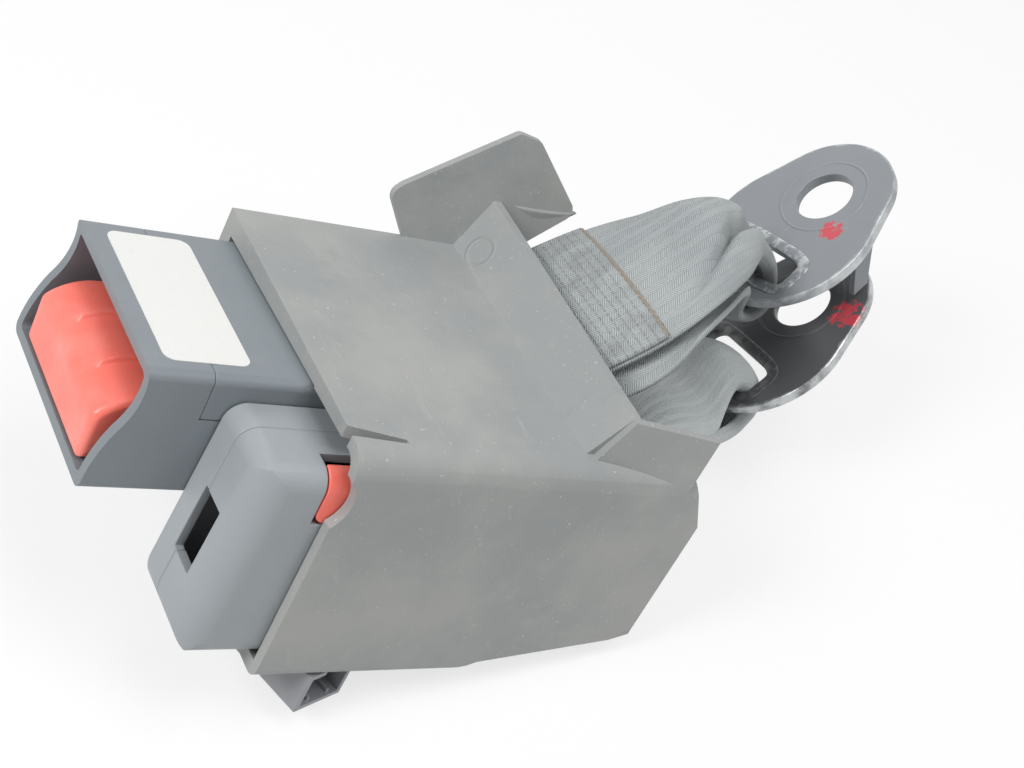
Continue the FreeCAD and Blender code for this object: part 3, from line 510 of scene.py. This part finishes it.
def crease(at, arc):
    """How far the webbing is pressed in along the crease beside its rolled near edge: a bell across the line
    from the hem to the plate's slot, deepening towards the slot."""
    (first, first_arc), (last, last_arc) = CREASE
    t = ((at - first) / (last - first))[:, None]
    inside = np.clip(t, 0, 1)
    centre = first_arc + (last_arc - first_arc) * inside
    fade = np.clip((t + 0.15) / 0.3, 0, 1) * np.clip((2.1 - t) / 0.5, 0, 1)
    depth = (CREASE_SHALLOW + (CREASE_DEEP - CREASE_SHALLOW) * inside**1.6) * fade
    width = CREASE_WIDTH * (0.75 + 0.5 * inside)
    return depth * np.exp(-((arc - centre) / width)**2)


def band_grid(knots, step=0.8, columns=65, lift=0.0, reach=None, trim=1.0, pressed=None):
    """A webbing surface in the buckle frame, and its flat UV in metres. Knots are rows of (point, across,
    outwards, turn, depth); each is carried smoothly along the path, and the section is laid square to it."""
    points = np.array([k[0] for k in knots], float)
    lengths = chord_lengths(points)
    at = np.arange(0, lengths[-1], step)
    if reach is not None:
        at = at[(at >= reach[0]) & (at <= reach[1])]
    middle = spline(lengths, points, at)
    side = unit(spline(lengths, np.array([unit(k[1]) for k in knots]), at))
    out = spline(lengths, np.array([unit(k[2]) for k in knots]), at)
    out = unit(out - side * np.sum(out * side, axis=1, keepdims=True))
    turn = spline(lengths, np.array([k[3] for k in knots], float), at)[:, 0].clip(0.15, 4.9)
    depth = spline(lengths, np.array([k[4] for k in knots], float), at)[:, 0].clip(0.1, 12)
    arc = np.linspace(-WEBBING_WIDTH / 2, WEBBING_WIDTH / 2, columns)[None, :] * trim
    across, inwards = band_section(turn, depth, arc)
    if pressed is not None:
        inwards = inwards + pressed(at, arc)
    grid = middle[:, None] + side[:, None] * across[..., None] - out[:, None] * (inwards - lift)[..., None]
    along = chord_lengths(middle)
    uv = np.stack(np.broadcast_arrays(arc, along[:, None]), -1) / 1000
    return grid, uv


def thickened(obj, thick):
    """Gives a sheet its real thickness, evenly to both sides."""
    solid = obj.modifiers.new("thickness", "SOLIDIFY")
    solid.thickness = thick / 1000
    solid.offset = 0.0


def loop_piece(name, node, knots, finish, pressed=None):
    """A webbing loop that stands for its CAD solid."""
    grid, uv = band_grid(knots, pressed=pressed)
    obj = grid_object(name, rowed(grid), uv)
    thickened(obj, WEBBING_THICK)
    obj.data.materials.append(finishes[finish])
    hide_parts(node)
    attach(obj, "buckles")


def sewn_end(knots):
    """The webbing's end, folded back on the upper loop and sewn down, and the thread along its hem."""
    hem_reach = (HEM_AT - HEM_SPREAD, HEM_AT + HEM_SPREAD)
    line, _ = band_grid(knots, lift=WEBBING_THICK + 0.35, reach=hem_reach, trim=0.99, step=0.6)
    path = line[len(line) // 2]
    thread = tube("hem_thread", path, THREAD_RADIUS + THREAD_RIPPLE * np.sin(np.arange(len(path)) * 2.1))
    thread.data.materials.append(finishes["thread"])
    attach(thread, "buckles")
    grid, uv = band_grid(knots, lift=WEBBING_THICK + 0.05, reach=(PATCH_START, HEM_AT), trim=0.995, step=0.6)
    patch = grid_object("webbing_sewn_end", rowed(grid), uv)
    thickened(patch, WEBBING_THICK)
    patch.data.materials.append(finishes["sewn"])
    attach(patch, "buckles")


def tube(name, path, radius, sides=10):
    """A round cord through points in the buckle frame: a circle square to the path at each point, closed at its
    ends by its radius going to nothing."""
    ahead = unit(np.gradient(path, axis=0))
    first = unit(np.cross(ahead, np.array([0.3, 0.2, 1.0])))
    second = np.cross(ahead, first)
    angle = np.linspace(0, 2 * math.pi, sides, endpoint=False)
    width = np.array(radius, float)
    width[[0, -1]] = 0.0
    ring = first[:, None] * np.cos(angle)[None, :, None] + second[:, None] * np.sin(angle)[None, :, None]
    grid = path[:, None] + ring * width[:, None, None]
    return make_object(name, rowed(grid), grid_faces(*grid.shape[:2], closed_columns=True), merged=True)


def around(centre, leave, out, radius, angles, across, turn, depth):
    """Knots round a bar or a pin: angle 0 points away from the webbing, and out is the upper strand's side."""
    knots = []
    for a in np.radians(angles):
        way = -np.cos(a) * leave + np.sin(a) * out
        knots.append((centre + way * radius, across, way, turn, depth))
    return knots


PIN_X, PIN_Z = 78.6, -9.6
BAR_REACH = 33.25
END_OFFSET, END_RADIUS, TIP_RADIUS = 13.5, 24.0, 18.8
FLANK_SLOPE = (END_RADIUS - TIP_RADIUS) / END_OFFSET
FLANK_SQUARE = math.sqrt(1 - FLANK_SLOPE**2)
PLATE_THICK = 3.0
SLOT_NEAR, SLOT_DEPTH, SLOT_LENGTH = -29.0, 9.5, 26.0
PATCH_START, HEM_AT, HEM_SPREAD = 24.0, 53.0, 0.9
THREAD_RADIUS, THREAD_RIPPLE = 0.5, 0.1
FOLD_ANGLES = [60, 25, -10, -45, -75]
CREASE = ((58.0, -19.5), (86.0, -4.0))
CREASE_SHALLOW, CREASE_DEEP, CREASE_WIDTH = 0.6, 6.5, 2.2


def plate_ways(hole, along, normal):
    """A plate's bolt hole and its three directions: towards its tip, across it and out of its face."""
    normal = unit(normal)
    along = unit(np.asarray(along) - normal * (np.asarray(along) @ normal))
    return np.asarray(hole, float), along, np.cross(normal, along), normal


UPPER_PLATE = plate_ways([190.4, 19.0, 42.4], [0.596, 0.172, 0.784], [-0.803, 0.132, 0.582])
LOWER_PLATE = plate_ways([190.9, 6.4, 16.9], [0.577, 0.080, 0.813], [-0.812, 0.166, 0.561])


def bar_of(plate, leave, outwards):
    """A plate's bar: its middle, its direction, the webbing's way from it, and the upper strand's side."""
    hole, along, across, _ = plate
    leave = unit(leave - across * (leave @ across))
    out = np.cross(across, leave)
    return hole - along * BAR_REACH, across, leave, out if out @ outwards > 0 else -out


def upper_loop():
    """The main buckle's loop: over the pin, up out of the boot, folded into the upper plate's slot and back."""
    bar, across, leave, out = bar_of(UPPER_PLATE, np.array([-0.9, 0, 0.43]), np.array([0, 0, 1.0]))
    y = (0, 1, 0)
    up, down = (-0.669, 0, 0.743), (0.669, 0, -0.743)
    knots = [((PIN_X - 1, 0, PIN_Z + 4.3), y, (0, 0, 1), 1.6, 1.5),
             ((88, 0, -6.6), y, (-0.35, 0, 0.93), 1.4, 1.5), ((97, 0, -0.8), y, up, 1.0, 0.9),
             ((106, -0.4, 7.6), y, up, 1.0, 1.2), ((119, -0.6, 19.6), y, up, 1.3, 2.4),
             ((130, 0.8, 30.2), (0, 1, -0.03), (-0.6, 0, 0.8), 2.1, 5.0),
             ((141, 3.8, 38.6), (0, 0.99, -0.06), (-0.35, 0, 0.94), 2.9, 7.5),
             ((151, 7.2, 40.4), (0, 0.99, -0.12), (0.05, 0.1, 0.99), 3.6, 8.5),
             ((160, 11.2, 35.6), (0, 0.98, -0.18), (0.5, 0.2, 0.85), 4.3, 7.0)]
    knots += around(bar + across * 2.2, leave, out, 8.4, FOLD_ANGLES, across, 4.6, 3.4)
    knots += [((159, 9.0, 18.5), (0, 0.98, -0.18), (0.2, 0, -0.97), 3.8, 4.0),
              ((146, 3.2, 18.2), (0, 0.99, -0.1), (0.1, 0, -0.99), 3.0, 4.5),
              ((133, -1.2, 17.6), (0, 1, -0.05), (0.45, 0, -0.9), 1.8, 3.0),
              ((121, -4.4, 11.8), y, down, 0.6, 0.8), ((106, -3.8, 0.6), y, down, 0.4, 0.5),
              ((97, -1.6, -6.6), y, down, 0.7, 0.7), ((88, 0, -11.8), y, (0.3, 0, -0.95), 1.4, 1.5),
              ((PIN_X - 1, 0, PIN_Z - 4.3), y, (0, 0, -1), 1.6, 1.5)]
    return knots


def lower_loop():
    """The centre buckle's loop: on edge in the boot, turning flat as it leaves, folded into the lower plate."""
    bar, across, leave, out = bar_of(LOWER_PLATE, np.array([-0.766, 0.063, -0.64]), np.array([0, 1.0, 0.5]))
    across = -across
    z, y, near = (0, 0, 1), (0, 1, 0), (0, -1, 0)
    knots = [((80, -33.3, -29.7), z, y, 2.4, 2.0), ((92, -34.6, -29.6), z, y, 1.6, 1.6),
             ((108, -34.5, -27.5), (-0.05, -0.15, 0.98), y, 1.2, 1.4),
             ((122, -26.0, -20.2), (-0.15, -0.5, 0.85), (-0.3, 0.85, 0.45), 1.2, 2.0),
             ((134, -12.6, -12.2), (-0.25, -0.82, 0.5), (-0.45, 0.55, 0.7), 1.4, 2.6),
             ((146, -4.8, -9.4), (-0.2, -0.93, 0.3), (-0.6, 0.3, 0.75), 2.0, 4.4),
             ((157.5, -1.8, -7.6), (-0.13, -0.97, 0.2), (-0.5, 0.2, 0.85), 3.2, 6.0)]
    knots += around(bar + across, leave, out, 11.2, FOLD_ANGLES, across, 4.2, 6.2)
    knots += [((156, -7.0, -22.5), (-0.13, -0.97, 0.2), (0.5, -0.4, -0.8), 3.8, 4.0),
              ((144, -17.5, -25.0), (-0.2, -0.9, 0.35), (0.45, -0.6, -0.7), 2.8, 3.5),
              ((132, -28.0, -26.5), (-0.2, -0.7, 0.65), (0.3, -0.8, -0.5), 1.8, 2.0),
              ((120, -36.5, -28.0), (-0.1, -0.4, 0.9), (0.1, -0.9, -0.3), 1.2, 1.2),
              ((108, -39.2, -28.8), (-0.03, -0.1, 0.98), near, 1.2, 1.2),
              ((92, -39.0, -29.7), z, near, 1.6, 1.4), ((80, -40.3, -29.7), z, near, 2.4, 1.5)]
    return knots


# The moulded button, the plates' rims and the boot's gusset


BUTTON_FRONT, BUTTON_HEAD, BUTTON_BACK = -4.5, 12.7, 26.5
BUTTON_FLOOR, BUTTON_SHOULDER, BUTTON_RIDGE, BUTTON_CROWN = -27.15, -15.85, -16.15, -12.4
BUTTON_HALF, BUTTON_ROUND = 20.3, 1.7
CROWN_CENTRE, CROWN_RADIUS = np.array([6.42, -24.9]), 14.0
RIB_AT, RIB_HALF, RIB_HEIGHT = 7.5, 0.85, 1.0


def button_profile():
    """The button's outline along its middle, as points (x, z): straight runs and the crown's arc, with every
    corner rounded by averaging each point with its neighbours along the line."""
    middle_x, middle_z = CROWN_CENTRE
    turn = np.linspace(math.atan2(BUTTON_RIDGE - middle_z, BUTTON_FRONT - middle_x),
                       math.atan2(BUTTON_CROWN - middle_z, BUTTON_HEAD - middle_x), 24)
    crown = CROWN_CENTRE + CROWN_RADIUS * np.stack([np.cos(turn), np.sin(turn)], 1)
    corners = np.array([(BUTTON_BACK, BUTTON_SHOULDER), (BUTTON_BACK, BUTTON_FLOOR),
                        (BUTTON_FRONT, BUTTON_FLOOR)])
    line = np.concatenate([corners, crown, [(BUTTON_HEAD, BUTTON_SHOULDER)], corners[:1]])
    lengths = chord_lengths(line)
    at = np.linspace(0, lengths[-1], 221)[:-1]
    even = np.stack([np.interp(at, lengths, line[:, 0]), np.interp(at, lengths, line[:, 1])], 1)
    offsets = np.arange(-6, 7)
    weights = np.exp(-(offsets / 2.6)**2)
    return sum(w * np.roll(even, k, axis=0) for w, k in zip(weights / weights.sum(), offsets))


def red_button():
    """The button: its outline carried across, drawn in by a quarter circle at both ends, with two thin ribs
    standing on the crown."""
    profile = button_profile()
    ahead = unit(np.roll(profile, -1, axis=0) - np.roll(profile, 1, axis=0))
    outwards = np.stack([ahead[:, 1], -ahead[:, 0]], 1)
    middle = profile.mean(axis=0)
    if np.sum((profile - middle) * outwards) < 0:
        outwards = -outwards
    quarter = np.linspace(0, math.pi / 2, 7)
    end_y = BUTTON_HALF - BUTTON_ROUND * (1 - np.sin(quarter))
    inset = BUTTON_ROUND * (1 - np.cos(quarter))
    even_y = np.concatenate([[0, 3], RIB_AT + np.linspace(-1.6, 1.6, 17), [12, 16]])
    half_y = np.concatenate([even_y, end_y])
    half_in = np.concatenate([np.zeros(len(even_y)), inset])
    y = np.concatenate([-half_y[::-1], half_y[1:]])
    drawn = np.concatenate([half_in[::-1], half_in[1:]])
    rib = RIB_HEIGHT * np.exp(-((np.abs(y) - RIB_AT) / RIB_HALF)**4)
    x, z = profile.T
    on_crown = (z > BUTTON_RIDGE + 1.6) & (x < BUTTON_HEAD - 0.6)
    share = np.where(on_crown, np.clip((x + 1.6) / 1.6, 0, 1) * np.clip((12.1 - x) / 1.2, 0, 1), 0)
    move = rib[:, None] * share[None] - drawn[:, None]
    section = profile[None] + outwards[None] * move[..., None]
    grid = np.stack([section[..., 0], np.broadcast_to(y[:, None], move.shape), section[..., 1]], -1)
    rows, columns = grid.shape[:2]
    faces = grid_faces(rows, columns, closed_columns=True).tolist()
    caps = [list(range(columns)), list(range((rows - 1) * columns, rows * columns))]
    mesh = bpy.data.meshes.new("red_button_moulded")
    mesh.from_pydata(rowed(grid).reshape(-1, 3).tolist(), [], faces + caps)
    work = bmesh.new()
    work.from_mesh(mesh)
    bmesh.ops.recalc_face_normals(work, faces=work.faces)
    work.to_mesh(mesh)
    work.free()
    mesh.polygons.foreach_set("use_smooth", np.arange(len(mesh.polygons)) < len(faces))
    obj = bpy.data.objects.new("red_button_moulded", mesh)
    bpy.context.scene.collection.objects.link(obj)
    obj.data.materials.append(finishes["red"])
    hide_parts("press_button")
    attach(obj, "button")


def raised_ring(name, plate, path, half_width, height, finish, body):
    """A low rounded rim on a plate's face: an ellipse carried round a closed path in the plate's own
    coordinates, with its middle on the face."""
    hole, along, across, normal = plate
    ahead = unit(np.roll(path, -1, axis=0) - np.roll(path, 1, axis=0))
    aside = np.stack([ahead[:, 1], -ahead[:, 0]], 1)
    angle = np.linspace(0, 2 * math.pi, 14, endpoint=False)
    flat = path[:, None] + aside[:, None] * (half_width * np.cos(angle))[None, :, None]
    rise = np.broadcast_to(PLATE_THICK / 2 + height * np.sin(angle), flat.shape[:2])
    grid = hole + flat[..., :1] * along + flat[..., 1:] * across + rise[..., None] * normal
    faces = grid_faces(len(path), len(angle), closed_rows=True, closed_columns=True)
    obj = make_object(name, rowed(grid), faces, merged=True)
    obj.data.materials.append(finishes[finish])
    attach(obj, body)


def circle_path(radius):
    """A circle about a plate's bolt hole."""
    angle = np.linspace(0, 2 * math.pi, 96, endpoint=False)
    return radius * np.stack([np.cos(angle), np.sin(angle)], 1)


def slot_path(grow):
    """The slot's outline in the plate's own coordinates, grown outwards: a rectangle with round corners, as the
    point at each angle of a superellipse."""
    angle = np.linspace(0, 2 * math.pi, 120, endpoint=False)
    power = 0.42
    half = np.array([SLOT_DEPTH / 2 + grow, SLOT_LENGTH / 2 + grow])
    wave = np.stack([np.cos(angle), np.sin(angle)], 1)
    return np.array([SLOT_NEAR + SLOT_DEPTH / 2, 0]) + half * np.sign(wave) * np.abs(wave)**power


def far_gusset():
    """The boot's web between the raised wall's far top corner and the flap: a triangle with a thickness, its
    upper edge sagging a little between its corners."""
    wall, flap, foot = (np.array(p) for p in ((101.0, 33.0, 17.5), (127.2, 32.4, 18.0), (113.0, 31.5, 7.5)))
    v, u = np.meshgrid(np.linspace(0, 1, 17), np.linspace(0, 1, 13))
    sag = np.array([0, 0.8, 0.5])
    top = wall + (flap - wall) * v[..., None] - sag * np.sin(math.pi * v)[..., None]
    grid = top + (foot - top) * (u * 0.97)[..., None]
    thick = np.array([0.0, 1.1, 0.0])
    both = np.concatenate([grid, (grid + thick)[::-1]])
    obj = make_object("boot_far_gusset", rowed(both), closed_slab(*grid.shape[:2]), merged=True)
    obj.data.materials.append(finishes["rubber"])
    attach(obj, "buckles")
    flat_shaded(obj)


def closed_slab(rows, columns):
    """The faces of two equal grids laid end to end, the second turned back under the first, both sides shut."""
    around_it = grid_faces(2 * rows, columns, closed_rows=True)
    r = np.arange(rows - 1)
    partner = 2 * rows - 1 - r
    corner_rows = np.stack([r, r + 1, partner - 1, partner], 1)
    sides = [corner_rows * columns + c for c in (0, columns - 1)]
    return np.concatenate([around_it, *sides])


def spring_piece(name, node, side, way, wire, turns):
    """A compression spring of round wire, laid where its CAD solid is: a helix between the solid's two ends,
    with its last half turns flattened."""
    corners = np.empty(len(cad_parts[node].data.vertices) * 3)
    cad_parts[node].data.vertices.foreach_get("co", corners)
    points = (corners.reshape(-1, 3) * 1000 - SHIFT) @ TURN
    points = points[points[:, 1] * side >= 0] if side else points
    low, high = points.min(axis=0), points.max(axis=0)
    others = [k for k in range(3) if k != way]
    middle = (low + high) / 2
    radius = (high[others[0]] - low[others[0]]) / 2 - wire / 2
    t = np.linspace(0, 1, turns * 28)
    rise = np.clip((t * turns - 0.5) / (turns - 1), 0, 1)
    path = np.empty((len(t), 3))
    path[:, way] = low[way] + wire / 2 + rise * (high[way] - low[way] - wire)
    path[:, others[0]] = middle[others[0]] + radius * np.cos(2 * math.pi * turns * t)
    path[:, others[1]] = middle[others[1]] + radius * np.sin(2 * math.pi * turns * t)
    obj = tube(name, path, np.full(len(t), wire / 2), sides=8)
    obj.data.materials.append(finishes["spring"])
    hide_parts(node)
    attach(obj, "buckles")
    seat = middle.copy()
    seat[way] = high[way]
    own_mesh(obj)


def springs():
    """Each button's and each ejector's spring."""
    spring_piece("button_spring_far", "button_springs", 1, 0, 0.9, 6)
    spring_piece("button_spring_near", "button_springs", -1, 0, 0.9, 6)
    spring_piece("main_ejector_coil", "main_ejector_spring", 0, 0, 0.45, 8)
    spring_piece("centre_ejector_coil", "centre_ejector_spring", 0, 0, 0.45, 6)
    spring_piece("release_coil", "release_spring", 0, 1, 0.45, 4)


def plate_rims():
    """The worn lip round each plate's slot and the faint washer ring round its bolt hole."""
    for place, plate in (("upper", UPPER_PLATE), ("lower", LOWER_PLATE)):
        body = place + "_plate"
        raised_ring(place + "_slot_lip", plate, slot_path(1.35), 1.6, 0.3, place + " lip", body)
        raised_ring(place + "_washer_ring", plate, circle_path(11.85), 0.38, 0.14, place, body)


# The scene's pieces

finishes = {
    "plastic": grey_plastic("housing plastic", (116, 123, 128), (130, 137, 142)),
    "pale": grey_plastic("centre plastic", (144, 150, 154), (158, 163, 167)),
    "rubber": boot_rubber(), "red": red_plastic(), "webbing": weave("belt webbing"),
    # The centre loop is the same webbing made lighter by lift: painted light on a loop that lies in the upper
    # loop's shade.
    "centre webbing painted light": weave("centre belt webbing painted light", lift=42), "sewn": weave("sewn webbing", sewn=True),
    "label": sticker(),
    "frame": plated_steel("frame steel", 150), "spring": plated_steel("spring steel", 128),
    "nylon": dark_nylon(), "acetal": pale_acetal(), "brass": tinned_brass(), "thread": hem_thread(),
    "upper lip": worn_lip("upper slot lip", (126, 130, 134), (176, 179, 181)),
    # The lower lip's paint and bare steel are set darker than the upper lip's: painted shade under the upper
    # plate.
    "lower lip": worn_lip("lower slot lip with painted shade", (74, 76, 77), (112, 114, 115)),
    "upper": painted_plate("upper plate paint", UPPER_PLATE, (128, 132, 136), (142, 146, 150),
                           (-7.5, -11.0, 0.0030), 0.36),
    # The lower plate's paint is set darker than the upper plate's: painted shade under the upper plate.
    "lower": painted_plate("lower plate paint with painted shade", LOWER_PLATE, (78, 80, 81), (94, 95, 96),
                           (4.8, -13.8, 0.0044), 0.26),
}

node_finish = {
    "buckle_switch": "nylon", "centre_ejector": "acetal",
    "centre_frame": "frame", "centre_latch": "frame", "centre_latch_pin": "frame",
    "centre_webbing_pin": "frame",
    "connector_terminals": "brass", "label": "label", "lock_slider": "acetal", "main_ejector": "acetal",
    "main_frame": "frame", "main_latch": "frame", "main_latch_pin": "frame", "main_webbing_pin": "frame",
}


def dress_nodes():
    """The CAD nodes whose own shape is shown get their finishes."""
    for node, finish in node_finish.items():
        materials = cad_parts[node].data.materials
        materials.clear()
        materials.append(finishes[finish])


def rounded_pieces():
    """The moulded and pressed pieces, with their edges rounded."""
    listed = [("lower shell", "main_lower_shell", 0.7, "plastic", "buckles", "buckle_plastic"),
              ("top cover", "main_top_cover", 0.45, "plastic", "buckles", "buckle_plastic"),
              ("centre front", "centre_front_shell", 0.6, "pale", "buckles", "buckle_plastic"),
              ("centre back", "centre_back_shell", 0.5, "pale", "buckles", "buckle_plastic"),
              ("centre release", "release_button", 0.4, "red", "centre_button", "red_plastic"),
              ("boot", "rubber_boot", 1.1, "rubber", "buckles", "boot_rubber"),
              ("upper plate", "upper_anchor_plate", 0.5, "upper", "upper_plate", "plate_steel"),
              ("lower plate", "lower_anchor_plate", 0.5, "lower", "lower_plate", "plate_steel"),
              ("connector", "connector_shell", 0.25, "nylon", "buckles", "connector_plastic")]
    for name, node, width, finish, body, slot in listed:
        piece = softened(name.replace(" ", "_") + "_moulded", node, width, body)
        piece.data.materials.append(finishes[finish])


# Light, floor and camera


WORLD_LIGHT, FLOOR_SHARE, FLOOR_HALF = 0.27, 0.72, 3
LAMPS = [("key", (-0.75, -0.05, 0.75), (0, 0, 0.03), 0.40, 6.4),
         ("fill", (0.1, -0.1, 1.0), (0, 0, 0.03), 0.5, 2.9),
         ("side", (0.40, -0.38, 0.80), (0.05, 0, 0.03), 0.35, 2.0),
         ("rim", (0.3, 0.8, 0.5), (0, 0, 0.03), 0.5, 1.2)]
LENS, CAMERA_PLACE = 56.25, (-0.16558, -0.206508, 0.308695)


def area_light(name, place, aim, size, power):
    """A soft round lamp that points at a place."""
    lamp = bpy.data.lights.new(name, "AREA")
    lamp.shape = "DISK"
    lamp.size = size
    lamp.energy = power
    obj = bpy.data.objects.new(name, lamp)
    obj.location = place
    obj.rotation_euler = (Vector(aim) - Vector(place)).to_track_quat("-Z", "Y").to_euler()
    bpy.context.scene.collection.objects.link(obj)


def shown_white(tree, lit, share):
    """A shader that shows part white to the camera and to reflections, and is plainly lit otherwise."""
    path = tree.nodes.new("ShaderNodeLightPath")
    seen = path.outputs["Is Camera Ray"]
    for kind in ("Is Glossy Ray", "Is Transmission Ray"):
        either = tree.nodes.new("ShaderNodeMath")
        either.operation = "MAXIMUM"
        tree.links.new(seen, either.inputs[0])
        tree.links.new(path.outputs[kind], either.inputs[1])
        seen = either.outputs[0]
    part = tree.nodes.new("ShaderNodeMath")
    part.operation = "MULTIPLY"
    tree.links.new(seen, part.inputs[0])
    part.inputs[1].default_value = share
    is_world = lit.bl_idname == "ShaderNodeBackground"
    white = tree.nodes.new("ShaderNodeBackground" if is_world else "ShaderNodeEmission")
    white.inputs["Color"].default_value = (1, 1, 1, 1)
    white.inputs["Strength"].default_value = 1.0
    mix = tree.nodes.new("ShaderNodeMixShader")
    tree.links.new(part.outputs[0], mix.inputs[0])
    tree.links.new(lit.outputs[0], mix.inputs[1])
    tree.links.new(white.outputs[0], mix.inputs[2])
    return mix.outputs[0]


def studio():
    """A pale floor, a white surround and soft lights from above."""
    world = bpy.data.worlds.new("surround")
    bpy.context.scene.world = world
    world.use_nodes = True
    tree = world.node_tree
    back = tree.nodes["Background"]
    back.inputs["Color"].default_value = (1, 1, 1, 1)
    back.inputs["Strength"].default_value = WORLD_LIGHT
    tree.links.new(shown_white(tree, back, 1.0), tree.nodes["World Output"].inputs["Surface"])
    corners = [(x * FLOOR_HALF, y * FLOOR_HALF, 0) for x, y in ((-1, -1), (1, -1), (1, 1), (-1, 1))]
    floor = make_object("floor", corners, [(0, 1, 2, 3)], smooth=False)
    paint = bpy.data.materials.new("floor paint")
    paint.use_nodes = True
    tree = paint.node_tree
    shader = tree.nodes["Principled BSDF"]
    shader.inputs["Base Color"].default_value = (0.86, 0.86, 0.86, 1)
    shader.inputs["Roughness"].default_value = 0.9
    tree.links.new(shown_white(tree, shader, FLOOR_SHARE), tree.nodes["Material Output"].inputs["Surface"])
    floor.data.materials.append(paint)
    for lamp in LAMPS:
        area_light(*lamp)


def camera():
    """The photograph's camera, fitted to the buckle's edges."""
    lens = bpy.data.cameras.new("photo")
    lens.sensor_width = 36.0
    lens.lens = LENS
    lens.clip_start = 0.01
    obj = bpy.data.objects.new("photo", lens)
    right, up, back = (0.89639, -0.3449, 0.27845), (0.09146, 0.75856, 0.64516), (-0.43373, -0.55284, 0.71151)
    turn = Matrix([right, up, back]).transposed()
    obj.matrix_world = Matrix.Translation(CAMERA_PLACE) @ turn.to_4x4()
    bpy.context.scene.collection.objects.link(obj)
    bpy.context.scene.camera = obj


dress_nodes()
rounded_pieces()
red_button()
loop_piece("webbing_main_loop", "webbing_main", upper_loop(), "webbing", crease)
loop_piece("webbing_centre_loop", "webbing_centre", lower_loop(), "centre webbing painted light")
sewn_end(upper_loop())
springs()
plate_rims()
far_gusset()
studio()
camera()
bpy.context.scene.view_settings.view_transform = "Standard"
